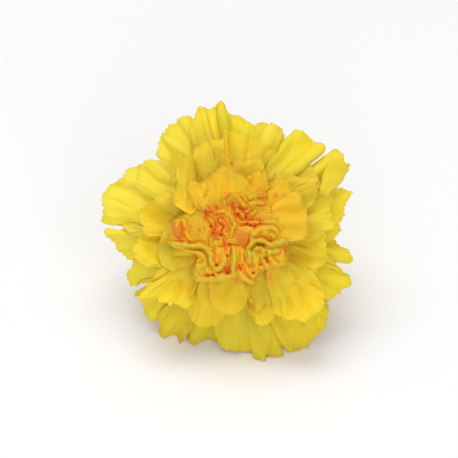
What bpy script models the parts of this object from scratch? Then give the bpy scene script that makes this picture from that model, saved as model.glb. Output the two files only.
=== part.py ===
"""A fully open yellow carnation head with a stub of cut stem, lying on a table.

The bloom is modelled in its own frame, in millimetres: its axis is +Z, its face looks along +Z and the mouth of
the calyx is at height 0. An empty then leans the whole head over, so that it rests on the lowest outer petals
and on the cut end of the stem, and puts the origin at the middle of the underside.
"""
import math

import bmesh
import bpy
import numpy as np
from mathutils import Vector

MM = 0.001

# Petals
BLADE_THICKNESS = 0.7
LAYER_STEP = 1.0
CLAW_WIDTH = 2.4
SHOULDER_WIDTH = 3.6
SHOULDER_REACH = 0.76
FOLD_REACH = 0.45
PLEAT_START = 0.25
PLEAT_SPACING = 9.0
GUARD_ROWS = 4
UPPER_ROWS = 3
INNER_ROWS = 2

# Map of how high the petals placed so far reach, which keeps each new petal above them
MAP_REACH = 46.0
MAP_CELL = 1.0
MAP_SIZE = round(2 * MAP_REACH / MAP_CELL) + 1
MAP_SAMPLES = 12
DRAPE_START = 6.5
DRAPE_FULL = 9.0
DRAPE_ROUNDS = 4

# Calyx, bracts and stem
CALYX_LENGTH = 27.0
CALYX_RADIUS = 7.9
CALYX_WALL = 0.9
CALYX_FLOOR_RISE = 0.4
CALYX_SIDES = 40
CALYX_TEETH = 5
TOOTH_HEIGHT = 3.4
BRACT_THICKNESS = 0.65
BRACT_FLARE = 0.4
BRACT_COLLAR = 1.2
BRACT_LIP = 1.8
BRACT_SIDES = 32
INNER_BRACT_TIP = 5.0
OUTER_BRACT_TIP = 4.0
PIECE_GAP = 0.3
OUTER_BRACT_GAP = 1.43
STEM_RADIUS = 2.5
STEM_LENGTH = 16.0
STEM_SWELL = 0.6
STEM_SWELL_LENGTH = 4.0
STEM_SIDES = 24

# Bundle of claws, which fills the calyx and carries the blades: half its outline, from its foot to its top, as
# distances from the axis and heights
CLAW_BUNDLE_SIDES = 24
CLAW_BUNDLE = [(0, -24), (4.4, -24), (5.5, -21), (6.4, -16), (6.4, 0), (6.8, 3.5), (8.4, 6.5), (9.8, 9.5),
               (9.8, 12.5), (8.6, 15), (5.5, 16.6), (0, 17.2)]

# How far the head leans back from lying face up, and the table in the bloom's frame
STEM_TIP = -(CALYX_LENGTH + PIECE_GAP + STEM_LENGTH)
RIM_REACH = 40.0
LEAN = math.atan(-STEM_TIP / (RIM_REACH - STEM_RADIUS))
TABLE_SLOPE = math.tan(LEAN)
TABLE_CLEARANCE = BLADE_THICKNESS / 2 * math.hypot(1, TABLE_SLOPE)
FLAT_BAND = 0.3

YELLOW = (0.83, 0.60, 0.05)
CALYX_GREEN = (0.16, 0.27, 0.09)
BRACT_GREEN = (0.21, 0.30, 0.11)
STEM_GREEN = (0.20, 0.33, 0.13)
PETAL_ROUGHNESS = 0.6
GREEN_ROUGHNESS = 0.5
SHARP_ANGLE = math.radians(40)

# Each petal: azimuth of its claw, rim height, arch towards the rim, depth of its pleats, and then its rim, point
# by point, as azimuth in degrees and distance from the bloom's axis. A petal lies over those written before it.
GUARD_PETALS = [
    (189, 0, 5, 0.9, [(178, 33.2), (179.6, 37.4), (185, 35.3), (191, 34.4), (196, 31.2)]),
    (222, -8, 5, 0.8, [(210.6, 28.6), (213.7, 33.7), (219, 33.9), (225, 35.6), (229.6, 35),
                       (232.6, 32)]),
    (259, -8, 6, 0.9, [(247.6, 33.4), (251.3, 35.7), (258, 34.2), (264, 33.1), (271, 33)]),
    (306, -4, 5, 1.2, [(286, 38.6), (289.3, 40.2), (293.6, 40.4), (294.8, 38.2), (297, 40.8),
                       (302.8, 42.3), (308.7, 41.4), (312, 41.5), (318.5, 39.1), (324, 37.5), (329, 35.5)]),
    (350, 1, 5, 0.9, [(342.6, 33), (345.3, 37.8), (347.6, 38), (350.5, 36.7), (355, 33.4),
                      (359.5, 30)]),
    (30, 2, 5, 1.0, [(22.6, 35.1), (25.7, 39.1), (29, 41.4), (34, 40.6), (37.3, 39.9),
                     (38.9, 33.5)]),
    (68, 3, 4, 0.8, [(59, 33), (61.4, 34.4), (66, 34.8), (71.8, 34.9), (76, 33.8)]),
    (121, 2, 4, 1.0, [(107.6, 35.6), (112.5, 37.1), (116, 36.3), (121, 36.5), (125, 36.2),
                      (129, 34.3), (132, 31)]),
    (158, 1, 5, 1.0, [(131.5, 30), (136, 31), (140, 33.1), (146, 35.8), (149.5, 36.6), (152, 35.7),
                      (158, 38.4), (164, 39.7), (168, 38.5), (177, 38.1), (179, 33)]),
    (202, -2, 5, 0.8, [(195.6, 30.3), (199, 32.2), (203, 33.7), (208.6, 34), (211, 28.8)]),
    (240, -12, 5, 0.8, [(232, 32.2), (233.8, 36.7), (238.5, 37.5), (243, 36.6), (246.4, 37.6),
                       (248.4, 33.4)]),
    (277, -4, 5, 0.9, [(266, 32.5), (270, 35.3), (276, 36.3), (280, 37.8), (281.8, 39.7),
                       (285.4, 40.5), (287.4, 38)]),
    (333, 1, 5, 0.9, [(322, 33), (327, 36.7), (332, 38.3), (336.8, 40.1), (341.4, 36.4),
                      (343.4, 33)]),
    (10, 3, 5, 0.9, [(356.6, 31.8), (361.6, 33.6), (366, 34.5), (372.4, 35.5), (377.4, 39.2),
                     (381, 37.8), (383.2, 34.6)]),
    (49, 4, 4, 1.2, [(38.6, 33), (40.2, 38.9), (45.2, 38.3), (49, 37.2), (54.8, 37), (58.4, 34)]),
    (84, 4, 4, 0.9, [(76.6, 32.6), (79, 33.4), (84, 34.3), (87.5, 35.7), (91, 37.2)]),
    (99, 5, 4, 1.0, [(91.6, 35), (93.8, 39.2), (95.2, 37.6), (100, 38.6), (105, 38.4), (108, 36)]),
]

SECOND_PETALS = [
    (189, 9, 4, 0.8, [(181, 23.5), (187, 26.2), (192, 26.6), (197, 25)]),
    (208, 8, 4, 0.8, [(200, 23), (203, 26.4), (209, 27.5), (214, 26.5)]),
    (342, 10, 4, 0.9, [(332, 24.4), (336.5, 27.2), (341.5, 28), (347, 27), (354, 26)]),
    (126, 10, 4, 0.9, [(114, 24.6), (118.5, 26.4), (123, 27.6), (127.6, 28.3), (132, 27), (137, 24)]),
    (60, 11, 3, 0.9, [(52, 27), (56, 28.5), (61, 27.5), (68, 26.2)]),
    (16, 11, 4, 0.9, [(-1, 26.5), (5, 29.5), (10, 30.8), (15, 31.6), (19, 32.7), (21.4, 30.3),
                     (27, 30.6), (30, 29.4)]),
    (228, 7, 5, 1.0, [(215, 26.5), (218, 29.4), (222, 30), (229, 28.6), (235, 28.4), (240, 27.3),
                      (243, 23)]),
    (103, 11, 3, 0.8, [(95, 27.6), (101, 28), (108, 27.4), (113.4, 26.6)]),
    (161, 10, 4, 1.0, [(143, 21), (148, 23.4), (154, 24.6), (160, 26), (166, 26.4), (173, 25.6),
                      (178, 22)]),
    (291, 7, 4, 0.9, [(285.4, 23.6), (287.6, 28), (290.6, 30.7), (294, 30)]),
    (308, 9, 3, 1.5, [(293.5, 27), (296, 29.3), (304, 31.8), (310, 33.6), (315, 34.4), (319.5, 35.8),
                      (325, 35.9), (328.5, 30.5)]),
    (38, 12, 3, 0.9, [(29, 25.5), (33, 29), (36, 29), (40, 26), (45, 24)]),
    (82, 12, 2, 0.9, [(72.6, 29), (76, 30), (82, 29.9), (87, 30.4), (91.6, 31.2)]),
    (251, 9, 3, 0.7, [(248, 21), (251.5, 22.9), (256, 22)]),
    (272, 10, 3, 0.6, [(255.5, 21.5), (260, 24.4), (266, 25.2), (273, 25.3), (280, 24.9), (285, 22.5)]),
]

THIRD_PETALS = [
    (212, 14, 1, 0.9, [(197, 16.5), (204, 19.4), (212, 19.3), (220, 17)]),
    (130, 16, 0, 0.7, [(121, 15.6), (126, 18), (131, 18.5), (136, 16)]),
    (56, 16, 1, 0.7, [(51, 20.5), (57, 23.6), (61, 19)]),
    (335, 15, 1, 1.0, [(321, 17.5), (329, 21.5), (337, 22.5), (345, 21)]),
    (300, 14, 1, 0.9, [(289, 17), (297, 20.5), (306, 21), (313, 18)]),
    (245, 13, 1, 0.9, [(232, 17.6), (241, 19.5), (251, 19), (260, 17.5)]),
    (154, 17, -1, 0.7, [(144, 15.6), (149, 18), (154, 18.4), (160, 16.6)]),
    (22, 18, -2, 0.6, [(-8, 20), (-1, 24.6), (8, 24.8), (15, 24.5), (24, 24.2), (32, 23.8), (40, 22.8),
                       (49, 21.2), (54, 18)]),
    (90, 18, -2, 0.7, [(72, 16.4), (79, 18.9), (87, 19.4), (95, 19.4), (104, 18.9), (109.5, 15.8)]),
    (181, 18, -1, 0.8, [(169, 14.5), (174, 17.4), (181, 18.2), (188, 17.2), (194, 14)]),
]

# Crumpled inner petals, which stand up and show their rims as ribbons: azimuth of the claw, rim height, and the
# rim as plan positions, point by point
INNER_PETALS = [
    (225, 21, [(-13.5, -4.8), (-9.5, -4.2), (-6.2, -6.4), (-4.8, -10.2)]),
    (245, 20, [(-9.6, -8.6), (-9.4, -13), (-5, -15), (-0.4, -13.6)]),
    (290, 21, [(3, -9.6), (5, -14.2), (9.2, -14), (10.4, -9.8)]),
    (320, 22, [(5.6, -8.4), (7, -3.8), (11.4, -3.2), (15.2, -5.4)]),
    (325, 20, [(10, -7.6), (13.6, -10.2), (17.6, -8)]),
    (12, 22, [(3.2, 3.4), (7.4, 1.4), (11.6, 3), (16, 3.4)]),
    (40, 21, [(5, 8), (8.6, 11.4), (13.2, 12)]),
    (85, 23, [(-3.6, 8.4), (-0.4, 10.8), (3.6, 9.4)]),
    (120, 22, [(-8.8, 9.8), (-7, 6), (-5, 2.8)]),
    (160, 22, [(-12.4, 4.2), (-8.6, 2.4), (-9.4, -1.4)]),
    (200, 24, [(-4.6, 1.6), (-4.9, -2), (-1.6, -3)]),
    (300, 24, [(1.2, 2.6), (2.4, -1), (3.8, -4.8)]),
]

# Where the claws of each whorl leave the bundle: distance from the axis and height, then how far they rise
GUARD_FOOT, GUARD_LIFT = (5.2, 1.5), 9.0
SECOND_FOOT, SECOND_LIFT = (5.2, 6.0), 11.0
THIRD_FOOT, THIRD_LIFT = (4.4, 10.0), 9.0
INNER_FOOT_SHARE, INNER_FOOT_HEIGHT, INNER_LIFT = 0.6, 12.0, 7.0
INNER_ARCH = -1.0
INNER_CLAW_WIDTH = 5.0


def plan_points(rim):
    """Plan positions of a rim and of its two shoulders, where the sides of the blade begin."""
    (first, first_reach), (last, last_reach) = rim[0], rim[-1]
    turn = SHOULDER_WIDTH / SHOULDER_REACH
    rim = [(first - math.degrees(turn / first_reach), first_reach * SHOULDER_REACH), *rim,
           (last + math.degrees(turn / last_reach), last_reach * SHOULDER_REACH)]
    azimuths = np.radians([azimuth for azimuth, _ in rim])
    reach = np.array([distance for _, distance in rim])
    return np.column_stack([reach * np.cos(azimuths), reach * np.sin(azimuths)])


def table_height(y):
    """Height, in the bloom's frame, at which the table lies under a point with this y."""
    return STEM_TIP - (y + STEM_RADIUS) * TABLE_SLOPE


def surface_normals(grid):
    """Unit normals of a petal's grid, on the side that faces the viewer of the open bloom."""
    along_rim = np.gradient(grid, axis=0)
    up_petal = np.gradient(grid, axis=1)
    normals = np.cross(up_petal, along_rim)
    normals /= np.linalg.norm(normals, axis=2, keepdims=True)
    padded = np.pad(normals, ((1, 1), (1, 1), (0, 0)), mode="edge")
    around = padded[:-2, 1:-1] + padded[2:, 1:-1] + padded[1:-1, :-2] + padded[1:-1, 2:]
    normals = 2 * normals + around
    return normals / np.linalg.norm(normals, axis=2, keepdims=True)


def petal_grid(azimuth, foot, claw_width, lift, rows, rim, height, arch, pleat_depth):
    """Middle surface of a petal: one column of points for each point of its rim, from the claw outwards."""
    direction = math.radians(azimuth)
    outward = np.array([math.cos(direction), math.sin(direction)])
    sideways = (rim[-1] - rim[0]) / np.linalg.norm(rim[-1] - rim[0])
    foot_radius, foot_height = foot
    spread = np.linspace(-claw_width / 2, claw_width / 2, len(rim))
    feet = foot_radius * outward + spread[:, None] * sideways
    shoulder = feet + FOLD_REACH * (rim - feet)
    t = np.linspace(0, 1, rows + 1)
    weights = [(1 - t) ** 3, 3 * (1 - t) ** 2 * t, 3 * (1 - t) * t ** 2, t ** 3]
    plan = sum(w[None, :, None] * p[:, None, :] for w, p in zip(weights, (feet, feet, shoulder, rim)))
    levels = sum(w * z for w, z in zip(weights, (foot_height, foot_height + lift, height + arch, height)))
    grid = np.dstack([plan, np.broadcast_to(levels, plan.shape[:2])])
    steps = np.linalg.norm(np.diff(rim, axis=0), axis=1)
    along = np.concatenate([[0], np.cumsum(steps)])
    wave = np.sin(2 * math.pi * along / PLEAT_SPACING + azimuth)
    growth = np.clip((t - PLEAT_START) / (1 - PLEAT_START), 0, 1)
    offset = pleat_depth * wave[:, None] * growth[None, :]
    return grid + offset[:, :, None] * surface_normals(grid)


def cells(points):
    """Indices in the height map of the cells that hold these points."""
    index = np.round((points[..., :2] + MAP_REACH) / MAP_CELL).astype(int)
    return np.clip(index, 0, MAP_SIZE - 1)


def spread_map(heights):
    """The height map with each cell raised to the highest of the cells round it."""
    padded = np.pad(heights, 1, mode="edge")
    shifts = [padded[i:i + MAP_SIZE, j:j + MAP_SIZE] for i in range(3) for j in range(3)]
    return np.max(shifts, axis=0)


def drape(grid, heights):
    """Raises a petal where it would pass through those under it or through the table."""
    near = spread_map(heights)
    index = cells(grid)
    floor = np.maximum(near[index[..., 0], index[..., 1]], table_height(grid[..., 1]) + TABLE_CLEARANCE)
    need = np.maximum(floor - grid[..., 2], 0)
    reach = np.linalg.norm(grid[..., :2], axis=2)
    need = need * np.clip((reach - DRAPE_START) / (DRAPE_FULL - DRAPE_START), 0, 1)
    lift = need
    for _ in range(DRAPE_ROUNDS):
        padded = np.pad(lift, 1, mode="edge")
        around = (padded[:-2, 1:-1] + padded[2:, 1:-1] + padded[1:-1, :-2] + padded[1:-1, 2:]) / 4
        lift = np.maximum(need, around)
    grid = grid.copy()
    grid[..., 2] += lift
    return grid


def add_to_map(grid, heights):
    """Marks in the height map the room that a petal takes."""
    a, b, c, d = grid[:-1, :-1], grid[1:, :-1], grid[1:, 1:], grid[:-1, 1:]
    for s in np.linspace(0, 1, MAP_SAMPLES):
        for t in np.linspace(0, 1, MAP_SAMPLES):
            point = (1 - s) * (1 - t) * a + s * (1 - t) * b + s * t * c + (1 - s) * t * d
            index = cells(point)
            np.maximum.at(heights, (index[..., 0], index[..., 1]), point[..., 2] + LAYER_STEP)


def blade_mesh(name, grid, thickness):
    """A closed blade round a petal's middle surface, split into triangles alike on both faces."""
    offset = surface_normals(grid) * thickness / 2
    sheets = np.concatenate([(grid + offset).reshape(-1, 3), (grid - offset).reshape(-1, 3)])
    columns, rows = grid.shape[:2]
    under = columns * rows
    table = table_height(sheets[:, 1])
    close = sheets[:, 2] < table + FLAT_BAND
    sheets[close, 2] = table[close]
    faces = []
    for i in range(columns - 1):
        for j in range(rows - 1):
            a, b, c, d = i * rows + j, i * rows + j + 1, (i + 1) * rows + j + 1, (i + 1) * rows + j
            faces += [(a, b, c), (a, c, d)]
            faces += [(under + c, under + b, under + a), (under + d, under + c, under + a)]
    edge = list(range(rows))
    edge += [i * rows + rows - 1 for i in range(1, columns)]
    edge += [(columns - 1) * rows + j for j in range(rows - 2, -1, -1)]
    edge += [i * rows for i in range(columns - 2, 0, -1)]
    for a, b in zip(edge, edge[1:] + edge[:1]):
        faces += [(a, under + a, under + b), (a, under + b, b)]
    mesh = bpy.data.meshes.new(name)
    mesh.from_pydata((sheets * MM).tolist(), [], faces)
    return mesh


def turned_mesh(name, profile, sides, lobes=0, lobe_height=0.0, rim=()):
    """Turns a profile of (radius, height) points, bottom to top on its outer side, round the axis.

    A point at radius 0 closes the solid there. The points listed in rim are raised to form the lobes.
    """
    bm = bmesh.new()
    rings = []
    for number, (radius, height) in enumerate(profile):
        if radius == 0:
            rings.append([bm.verts.new((0, 0, height * MM))] * sides)
            continue
        ring = []
        for side in range(sides):
            turn = side / sides
            raised = 0.0
            if number in rim:
                raised = lobe_height * (1 - abs((turn * lobes) % 1 - 0.5) * 2)
            angle = 2 * math.pi * turn
            place = (radius * math.cos(angle), radius * math.sin(angle), height + raised)
            ring.append(bm.verts.new(Vector(place) * MM))
        rings.append(ring)
    closed = profile[0][0] != 0
    pairs = list(zip(rings, rings[1:])) + ([(rings[-1], rings[0])] if closed else [])
    for low, high in pairs:
        for side in range(sides):
            after = (side + 1) % sides
            corners = [low[side], low[after], high[after], high[side]]
            kept = list(dict.fromkeys(corners))
            bm.faces.new(kept[:3])
            if len(kept) == 4:
                bm.faces.new([kept[0], kept[2], kept[3]])
    mesh = bpy.data.meshes.new(name)
    bm.to_mesh(mesh)
    bm.free()
    return mesh


def simple_material(name, colour, roughness):
    material = bpy.data.materials.new(name)
    material.use_nodes = True
    shader = material.node_tree.nodes["Principled BSDF"]
    shader.inputs["Base Color"].default_value = (*colour, 1)
    shader.inputs["Roughness"].default_value = roughness
    shader.inputs["Metallic"].default_value = 0.0
    return material


def place(name, mesh, material, parent):
    """A named object for a mesh, shaded smooth except at its sharp edges, on the leaning empty."""
    mesh.materials.append(material)
    mesh.shade_smooth()
    mesh.set_sharp_from_angle(angle=SHARP_ANGLE)
    piece = bpy.data.objects.new(name, mesh)
    bpy.context.scene.collection.objects.link(piece)
    piece.parent = parent
    return piece


def all_petal_grids():
    """The middle surfaces of all the petals, from the lowest guard petals to the crumpled centre."""
    heights = np.full((MAP_SIZE, MAP_SIZE), STEM_TIP)
    grids = []
    whorls = (
        (GUARD_PETALS, GUARD_FOOT, GUARD_LIFT, GUARD_ROWS),
        (SECOND_PETALS, SECOND_FOOT, SECOND_LIFT, UPPER_ROWS),
        (THIRD_PETALS, THIRD_FOOT, THIRD_LIFT, UPPER_ROWS),
    )
    for petals, foot, lift, rows in whorls:
        for azimuth, height, arch, pleat_depth, rim in petals:
            rim = plan_points(rim)
            grid = petal_grid(azimuth, foot, CLAW_WIDTH, lift, rows, rim, height, arch, pleat_depth)
            grids.append(drape(grid, heights))
            add_to_map(grids[-1], heights)
    for azimuth, height, rim in INNER_PETALS:
        rim = np.array(rim)
        foot = (np.linalg.norm(rim.mean(axis=0)) * INNER_FOOT_SHARE, INNER_FOOT_HEIGHT)
        grid = petal_grid(azimuth, foot, INNER_CLAW_WIDTH, INNER_LIFT, INNER_ROWS, rim, height, INNER_ARCH, 0)
        grids.append(grid)
    return grids


def largest_body(mesh):
    """Keeps the largest closed body of a mesh: sealed hollows inside it are filled and scraps dropped."""
    bm = bmesh.new()
    bm.from_mesh(mesh)
    bodies = []
    left = set(bm.faces)
    while left:
        body = set()
        front = [left.pop()]
        while front:
            face = front.pop()
            body.add(face)
            for edge in face.edges:
                sides = edge.link_faces if edge.is_manifold else ()
                for neighbour in sides:
                    if neighbour in left:
                        left.remove(neighbour)
                        front.append(neighbour)
        bodies.append(body)
    bodies.sort(key=len, reverse=True)
    for body in bodies[1:]:
        bmesh.ops.delete(bm, geom=list(body), context="FACES")
    bmesh.ops.delete(bm, geom=[v for v in bm.verts if not v.link_faces], context="VERTS")
    bmesh.ops.triangulate(bm, faces=bm.faces)
    bm.to_mesh(mesh)
    bm.free()


def make_petals(material, parent):
    """The bundle of claws and every blade, joined into one solid."""
    blades = bpy.data.collections.new("blades")
    bpy.context.scene.collection.children.link(blades)
    for number, grid in enumerate(all_petal_grids()):
        name = f"blade_{number}"
        blades.objects.link(bpy.data.objects.new(name, blade_mesh(name, grid, BLADE_THICKNESS)))
    joined = bpy.data.objects.new("bundle", turned_mesh("bundle", CLAW_BUNDLE, CLAW_BUNDLE_SIDES))
    bpy.context.scene.collection.objects.link(joined)
    union = joined.modifiers.new("union", "BOOLEAN")
    union.operation = "UNION"
    union.operand_type = "COLLECTION"
    union.collection = blades
    union.solver = "MANIFOLD"
    bpy.context.view_layer.update()
    evaluated = joined.evaluated_get(bpy.context.evaluated_depsgraph_get())
    mesh = bpy.data.meshes.new_from_object(evaluated)
    mesh.name = "petals"
    for blade in list(blades.objects):
        bpy.data.objects.remove(blade)
    bpy.data.collections.remove(blades)
    bpy.data.objects.remove(joined)
    mesh.materials.clear()
    largest_body(mesh)
    return place("petals", mesh, material, parent)


def offset_profile(profile, distance):
    """A profile moved outwards by this distance, square to itself."""
    points = np.array(profile)
    along = np.gradient(points, axis=0)
    outward = np.column_stack([along[:, 1], -along[:, 0]])
    outward /= np.linalg.norm(outward, axis=1, keepdims=True)
    return [tuple(point) for point in points + distance * outward]


def calyx_side():
    """Outer side of the calyx from its foot to its mouth, as (radius, height) points."""
    radius, foot = CALYX_RADIUS, -CALYX_LENGTH
    return [(3.2, foot), (5.4, foot + 1.2), (6.9, foot + 3.6), (7.6, foot + 7), (radius, foot + 12), (radius, -5),
            (radius - 0.3, -1.2), (radius + 0.3, 0.6)]


def make_calyx(material, parent):
    """The green tube with five teeth that holds the claws, closed at the foot."""
    outer = calyx_side()
    inner = offset_profile(outer, -CALYX_WALL)[1:]
    floor = -CALYX_LENGTH + 2 * CALYX_WALL
    inner[0] = (inner[0][0], floor + CALYX_FLOOR_RISE)
    profile = [(0, -CALYX_LENGTH), *outer, *inner[::-1], (0, floor)]
    rim = (len(outer), len(outer) + 1)
    mesh = turned_mesh("calyx", profile, CALYX_SIDES, CALYX_TEETH, TOOTH_HEIGHT, rim)
    return place("calyx", mesh, material, parent)


def make_bracts(name, reach, gap, tip, turn, material, parent):
    """A pair of broad, pointed bracts, joined in a collar round the stem and hugging the calyx."""
    side = calyx_side()[:reach]
    collar = (side[0][0], side[0][1] - BRACT_COLLAR)
    side = [collar, *side, (CALYX_RADIUS + BRACT_FLARE, side[-1][1] + BRACT_LIP)]
    inside = offset_profile(side, gap)
    outside = offset_profile(side, gap + BRACT_THICKNESS)
    profile = outside + inside[::-1]
    rim = (len(outside) - 1, len(outside))
    mesh = turned_mesh(name, profile, BRACT_SIDES, 2, tip, rim)
    piece = place(name, mesh, material, parent)
    piece.rotation_euler.z = turn
    return piece


def make_stem(material, parent):
    """The short stub left when the head was cut, a little wider under the calyx."""
    top = STEM_TIP + STEM_LENGTH
    profile = [(0, STEM_TIP), (STEM_RADIUS, STEM_TIP), (STEM_RADIUS, top - STEM_SWELL_LENGTH),
               (STEM_RADIUS + STEM_SWELL, top), (0, top)]
    return place("stem", turned_mesh("stem", profile, STEM_SIDES), material, parent)


def world_corners(pieces):
    """Lowest and highest corner of the box round these objects, in world space."""
    bpy.context.view_layer.update()
    points = np.array([piece.matrix_world @ v.co for piece in pieces for v in piece.data.vertices])
    return points.min(axis=0), points.max(axis=0)


def main():
    for old in list(bpy.data.objects):
        bpy.data.objects.remove(old)
    bloom = bpy.data.objects.new("leaning_head", None)
    bpy.context.scene.collection.objects.link(bloom)
    bloom.rotation_euler.x = LEAN
    inner_green = simple_material("inner_bract_green", BRACT_GREEN, GREEN_ROUGHNESS)
    outer_green = simple_material("outer_bract_green", BRACT_GREEN, GREEN_ROUGHNESS)
    pieces = [
        make_petals(simple_material("petal_yellow", YELLOW, PETAL_ROUGHNESS), bloom),
        make_calyx(simple_material("calyx_green", CALYX_GREEN, GREEN_ROUGHNESS), bloom),
        make_bracts("inner_bracts", 4, PIECE_GAP, INNER_BRACT_TIP, 0.0, inner_green, bloom),
        make_bracts("outer_bracts", 3, OUTER_BRACT_GAP, OUTER_BRACT_TIP, math.pi / 2, outer_green, bloom),
        make_stem(simple_material("stem_green", STEM_GREEN, GREEN_ROUGHNESS), bloom),
    ]
    low, high = world_corners(pieces)
    bloom.location = (-(low[0] + high[0]) / 2, -(low[1] + high[1]) / 2, -low[2])


main()
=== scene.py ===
# A fully open yellow carnation head, picked with a stub of stem, lying on its rim on a pale table
import math
import bpy
import numpy as np
from mathutils import Matrix, Vector


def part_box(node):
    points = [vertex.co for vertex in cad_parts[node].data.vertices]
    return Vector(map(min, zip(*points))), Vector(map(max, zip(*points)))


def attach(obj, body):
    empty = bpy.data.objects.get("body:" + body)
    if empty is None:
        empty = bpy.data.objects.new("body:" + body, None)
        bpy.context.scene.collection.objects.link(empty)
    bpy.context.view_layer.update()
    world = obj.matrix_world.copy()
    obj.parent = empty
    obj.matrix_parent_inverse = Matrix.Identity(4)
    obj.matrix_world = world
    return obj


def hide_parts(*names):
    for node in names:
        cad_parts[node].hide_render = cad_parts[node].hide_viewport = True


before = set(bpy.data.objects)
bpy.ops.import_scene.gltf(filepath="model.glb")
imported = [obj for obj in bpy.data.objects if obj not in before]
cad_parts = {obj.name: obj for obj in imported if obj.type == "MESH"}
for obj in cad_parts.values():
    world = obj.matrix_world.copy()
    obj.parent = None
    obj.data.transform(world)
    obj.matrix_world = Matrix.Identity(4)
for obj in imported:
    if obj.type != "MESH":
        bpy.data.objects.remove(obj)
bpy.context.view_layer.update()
mm = 0.001
print("frame:", ", ".join(sorted(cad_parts)))

# The bloom is written in its own frame, in mm: its axis is +Z, its face looks along +Z, and the mouth of the
# calyx is at height 0. The whole head then leans back onto the table.
headLay = {
    "stemTip": -43.3,       # height of the cut end
    "stemRadius": 2.5,
    "rimReach": 40.0,       # how far from the axis the lowest petals touch the table
    "tableClear": 0.25,     # petals keep this far off the table
}
leanSlope = -headLay["stemTip"] / (headLay["rimReach"] - headLay["stemRadius"])
lean = math.atan(leanSlope)


def bloomToWorld():  # the stem's box says where the head was laid
    low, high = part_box("stem")
    tip, radius = headLay["stemTip"] * mm, headLay["stemRadius"] * mm
    shift = ((low.x + high.x) / 2,
             high.y - radius * math.cos(lean) + tip * math.sin(lean),
             low.z + radius * math.sin(lean) - tip * math.cos(lean))
    return Matrix.Translation(shift) @ Matrix.Rotation(lean, 4, "X")


bloomMatrix = bloomToWorld()


def tableHeight(y):  # height of the table in the bloom's frame under a point with this y
    return headLay["stemTip"] - (y + headLay["stemRadius"]) * leanSlope


def bloomMesh(name, points, faces, values):  # a smooth mesh from points in the bloom's frame
    turn = np.array(bloomMatrix)
    mesh = bpy.data.meshes.new(name)
    mesh.from_pydata(points * mm @ turn[:3, :3].T + turn[:3, 3], [], faces)
    for key, value in values.items():
        isVector = value.shape[-1] == 3
        layer = mesh.attributes.new(key, "FLOAT_VECTOR" if isVector else "FLOAT", "POINT")
        layer.data.foreach_set("vector" if isVector else "value", value.astype(np.float32).ravel())
    mesh.shade_smooth()
    return mesh


def addObject(name, data):
    made = bpy.data.objects.new(name, data)
    bpy.context.scene.collection.objects.link(made)
    return made


def showPiece(name, mesh, material, node):
    piece = addObject(name, mesh)
    mesh.materials.clear()
    mesh.materials.append(material)
    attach(piece, "root")
    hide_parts(node)
    print(name, len(mesh.polygons), "faces")


# Curves and random shapes that the petals share
splineSteps = 16    # points worked out between two given ones
fewestPoints = 9


def smoothCurve(points, step):  # an even run of points through the given ones, and how far along each lies
    points = np.array(points, float)
    gaps = np.linalg.norm(np.diff(points[:, :2], axis=0), axis=1) ** 0.5
    knots = np.concatenate([[0], np.cumsum(gaps)])
    tangents = np.gradient(points, knots, axis=0)
    t = np.linspace(0, 1, splineSteps, endpoint=False)[:, None]
    dense = []
    for i, gap in enumerate(gaps):
        dense.append((2 * t ** 3 - 3 * t ** 2 + 1) * points[i] + (t ** 3 - 2 * t ** 2 + t) * gap * tangents[i]
                     + (3 * t ** 2 - 2 * t ** 3) * points[i + 1] + (t ** 3 - t ** 2) * gap * tangents[i + 1])
    dense = np.concatenate(dense + [points[-1:]])
    along = np.concatenate([[0], np.cumsum(np.linalg.norm(np.diff(dense[:, :2], axis=0), axis=1))])
    at = np.linspace(0, along[-1], max(fewestPoints, round(along[-1] / step) + 1))
    return np.column_stack([np.interp(at, along, column) for column in dense.T]), at


def eased(t):
    return t * t * (3 - 2 * t)


def smoothStep(low, high, value):
    return eased(np.clip((value - low) / (high - low), 0, 1))


def wander(rng, at, spacing):  # a smooth random line between -1 and 1, for waves that never repeat
    knots = np.arange(at.min() - spacing, at.max() + 3 * spacing, spacing)
    values = rng.uniform(-1, 1, len(knots))
    place = (at - knots[0]) / spacing
    index = np.clip(place.astype(int), 0, len(knots) - 2)
    t = eased(place - index)
    return values[index] * (1 - t) + values[index + 1] * t


# How irregular a rim and its folds are, as shares of the spacing and the depth that a petal gives
rimHabit = {
    "toothGap": (0.45, 1.6), "toothSize": (0.15, 1.25), "notchPlace": (0.3, 0.7), "notchSize": 0.6,
    "firstCut": (0.2, 1), "cutGap": (0.6, 1.5), "cutSize": (0.2, 1),
    "cutWidth": 0.5,        # mm
}
foldHabit = {
    "gap": (0.45, 1.15), "width": (0.18, 0.5), "drift": (-0.8, 0.8), "size": (0.25, 1),
    "turns": 0.75,          # how often a fold turns to the other side
}


def toothLine(rng, at, spacing, depth):  # fine irregular teeth along a rim
    tips, sizes = [at[0] - spacing], [0.0]
    while tips[-1] < at[-1] + spacing:
        tips.append(tips[-1] + spacing * rng.uniform(*rimHabit["toothGap"]))
        sizes.append(depth * rng.uniform(*rimHabit["toothSize"]))
    knots, values = [], []
    for tip, size, after in zip(tips, sizes, tips[1:]):
        knots += [tip, tip + (after - tip) * rng.uniform(*rimHabit["notchPlace"])]
        values += [size, -rimHabit["notchSize"] * size]
    return np.interp(at, knots, values)


def rimCuts(rng, at, spacing, depth):  # a few deeper cuts in a rim
    cuts = np.zeros_like(at)
    place = at[0] + spacing * rng.uniform(*rimHabit["firstCut"])
    while place < at[-1]:
        away = np.abs((at - place) / rimHabit["cutWidth"])
        cuts -= depth * rng.uniform(*rimHabit["cutSize"]) * np.exp(-away ** 1.2)
        place += spacing * rng.uniform(*rimHabit["cutGap"])
    return cuts


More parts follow.
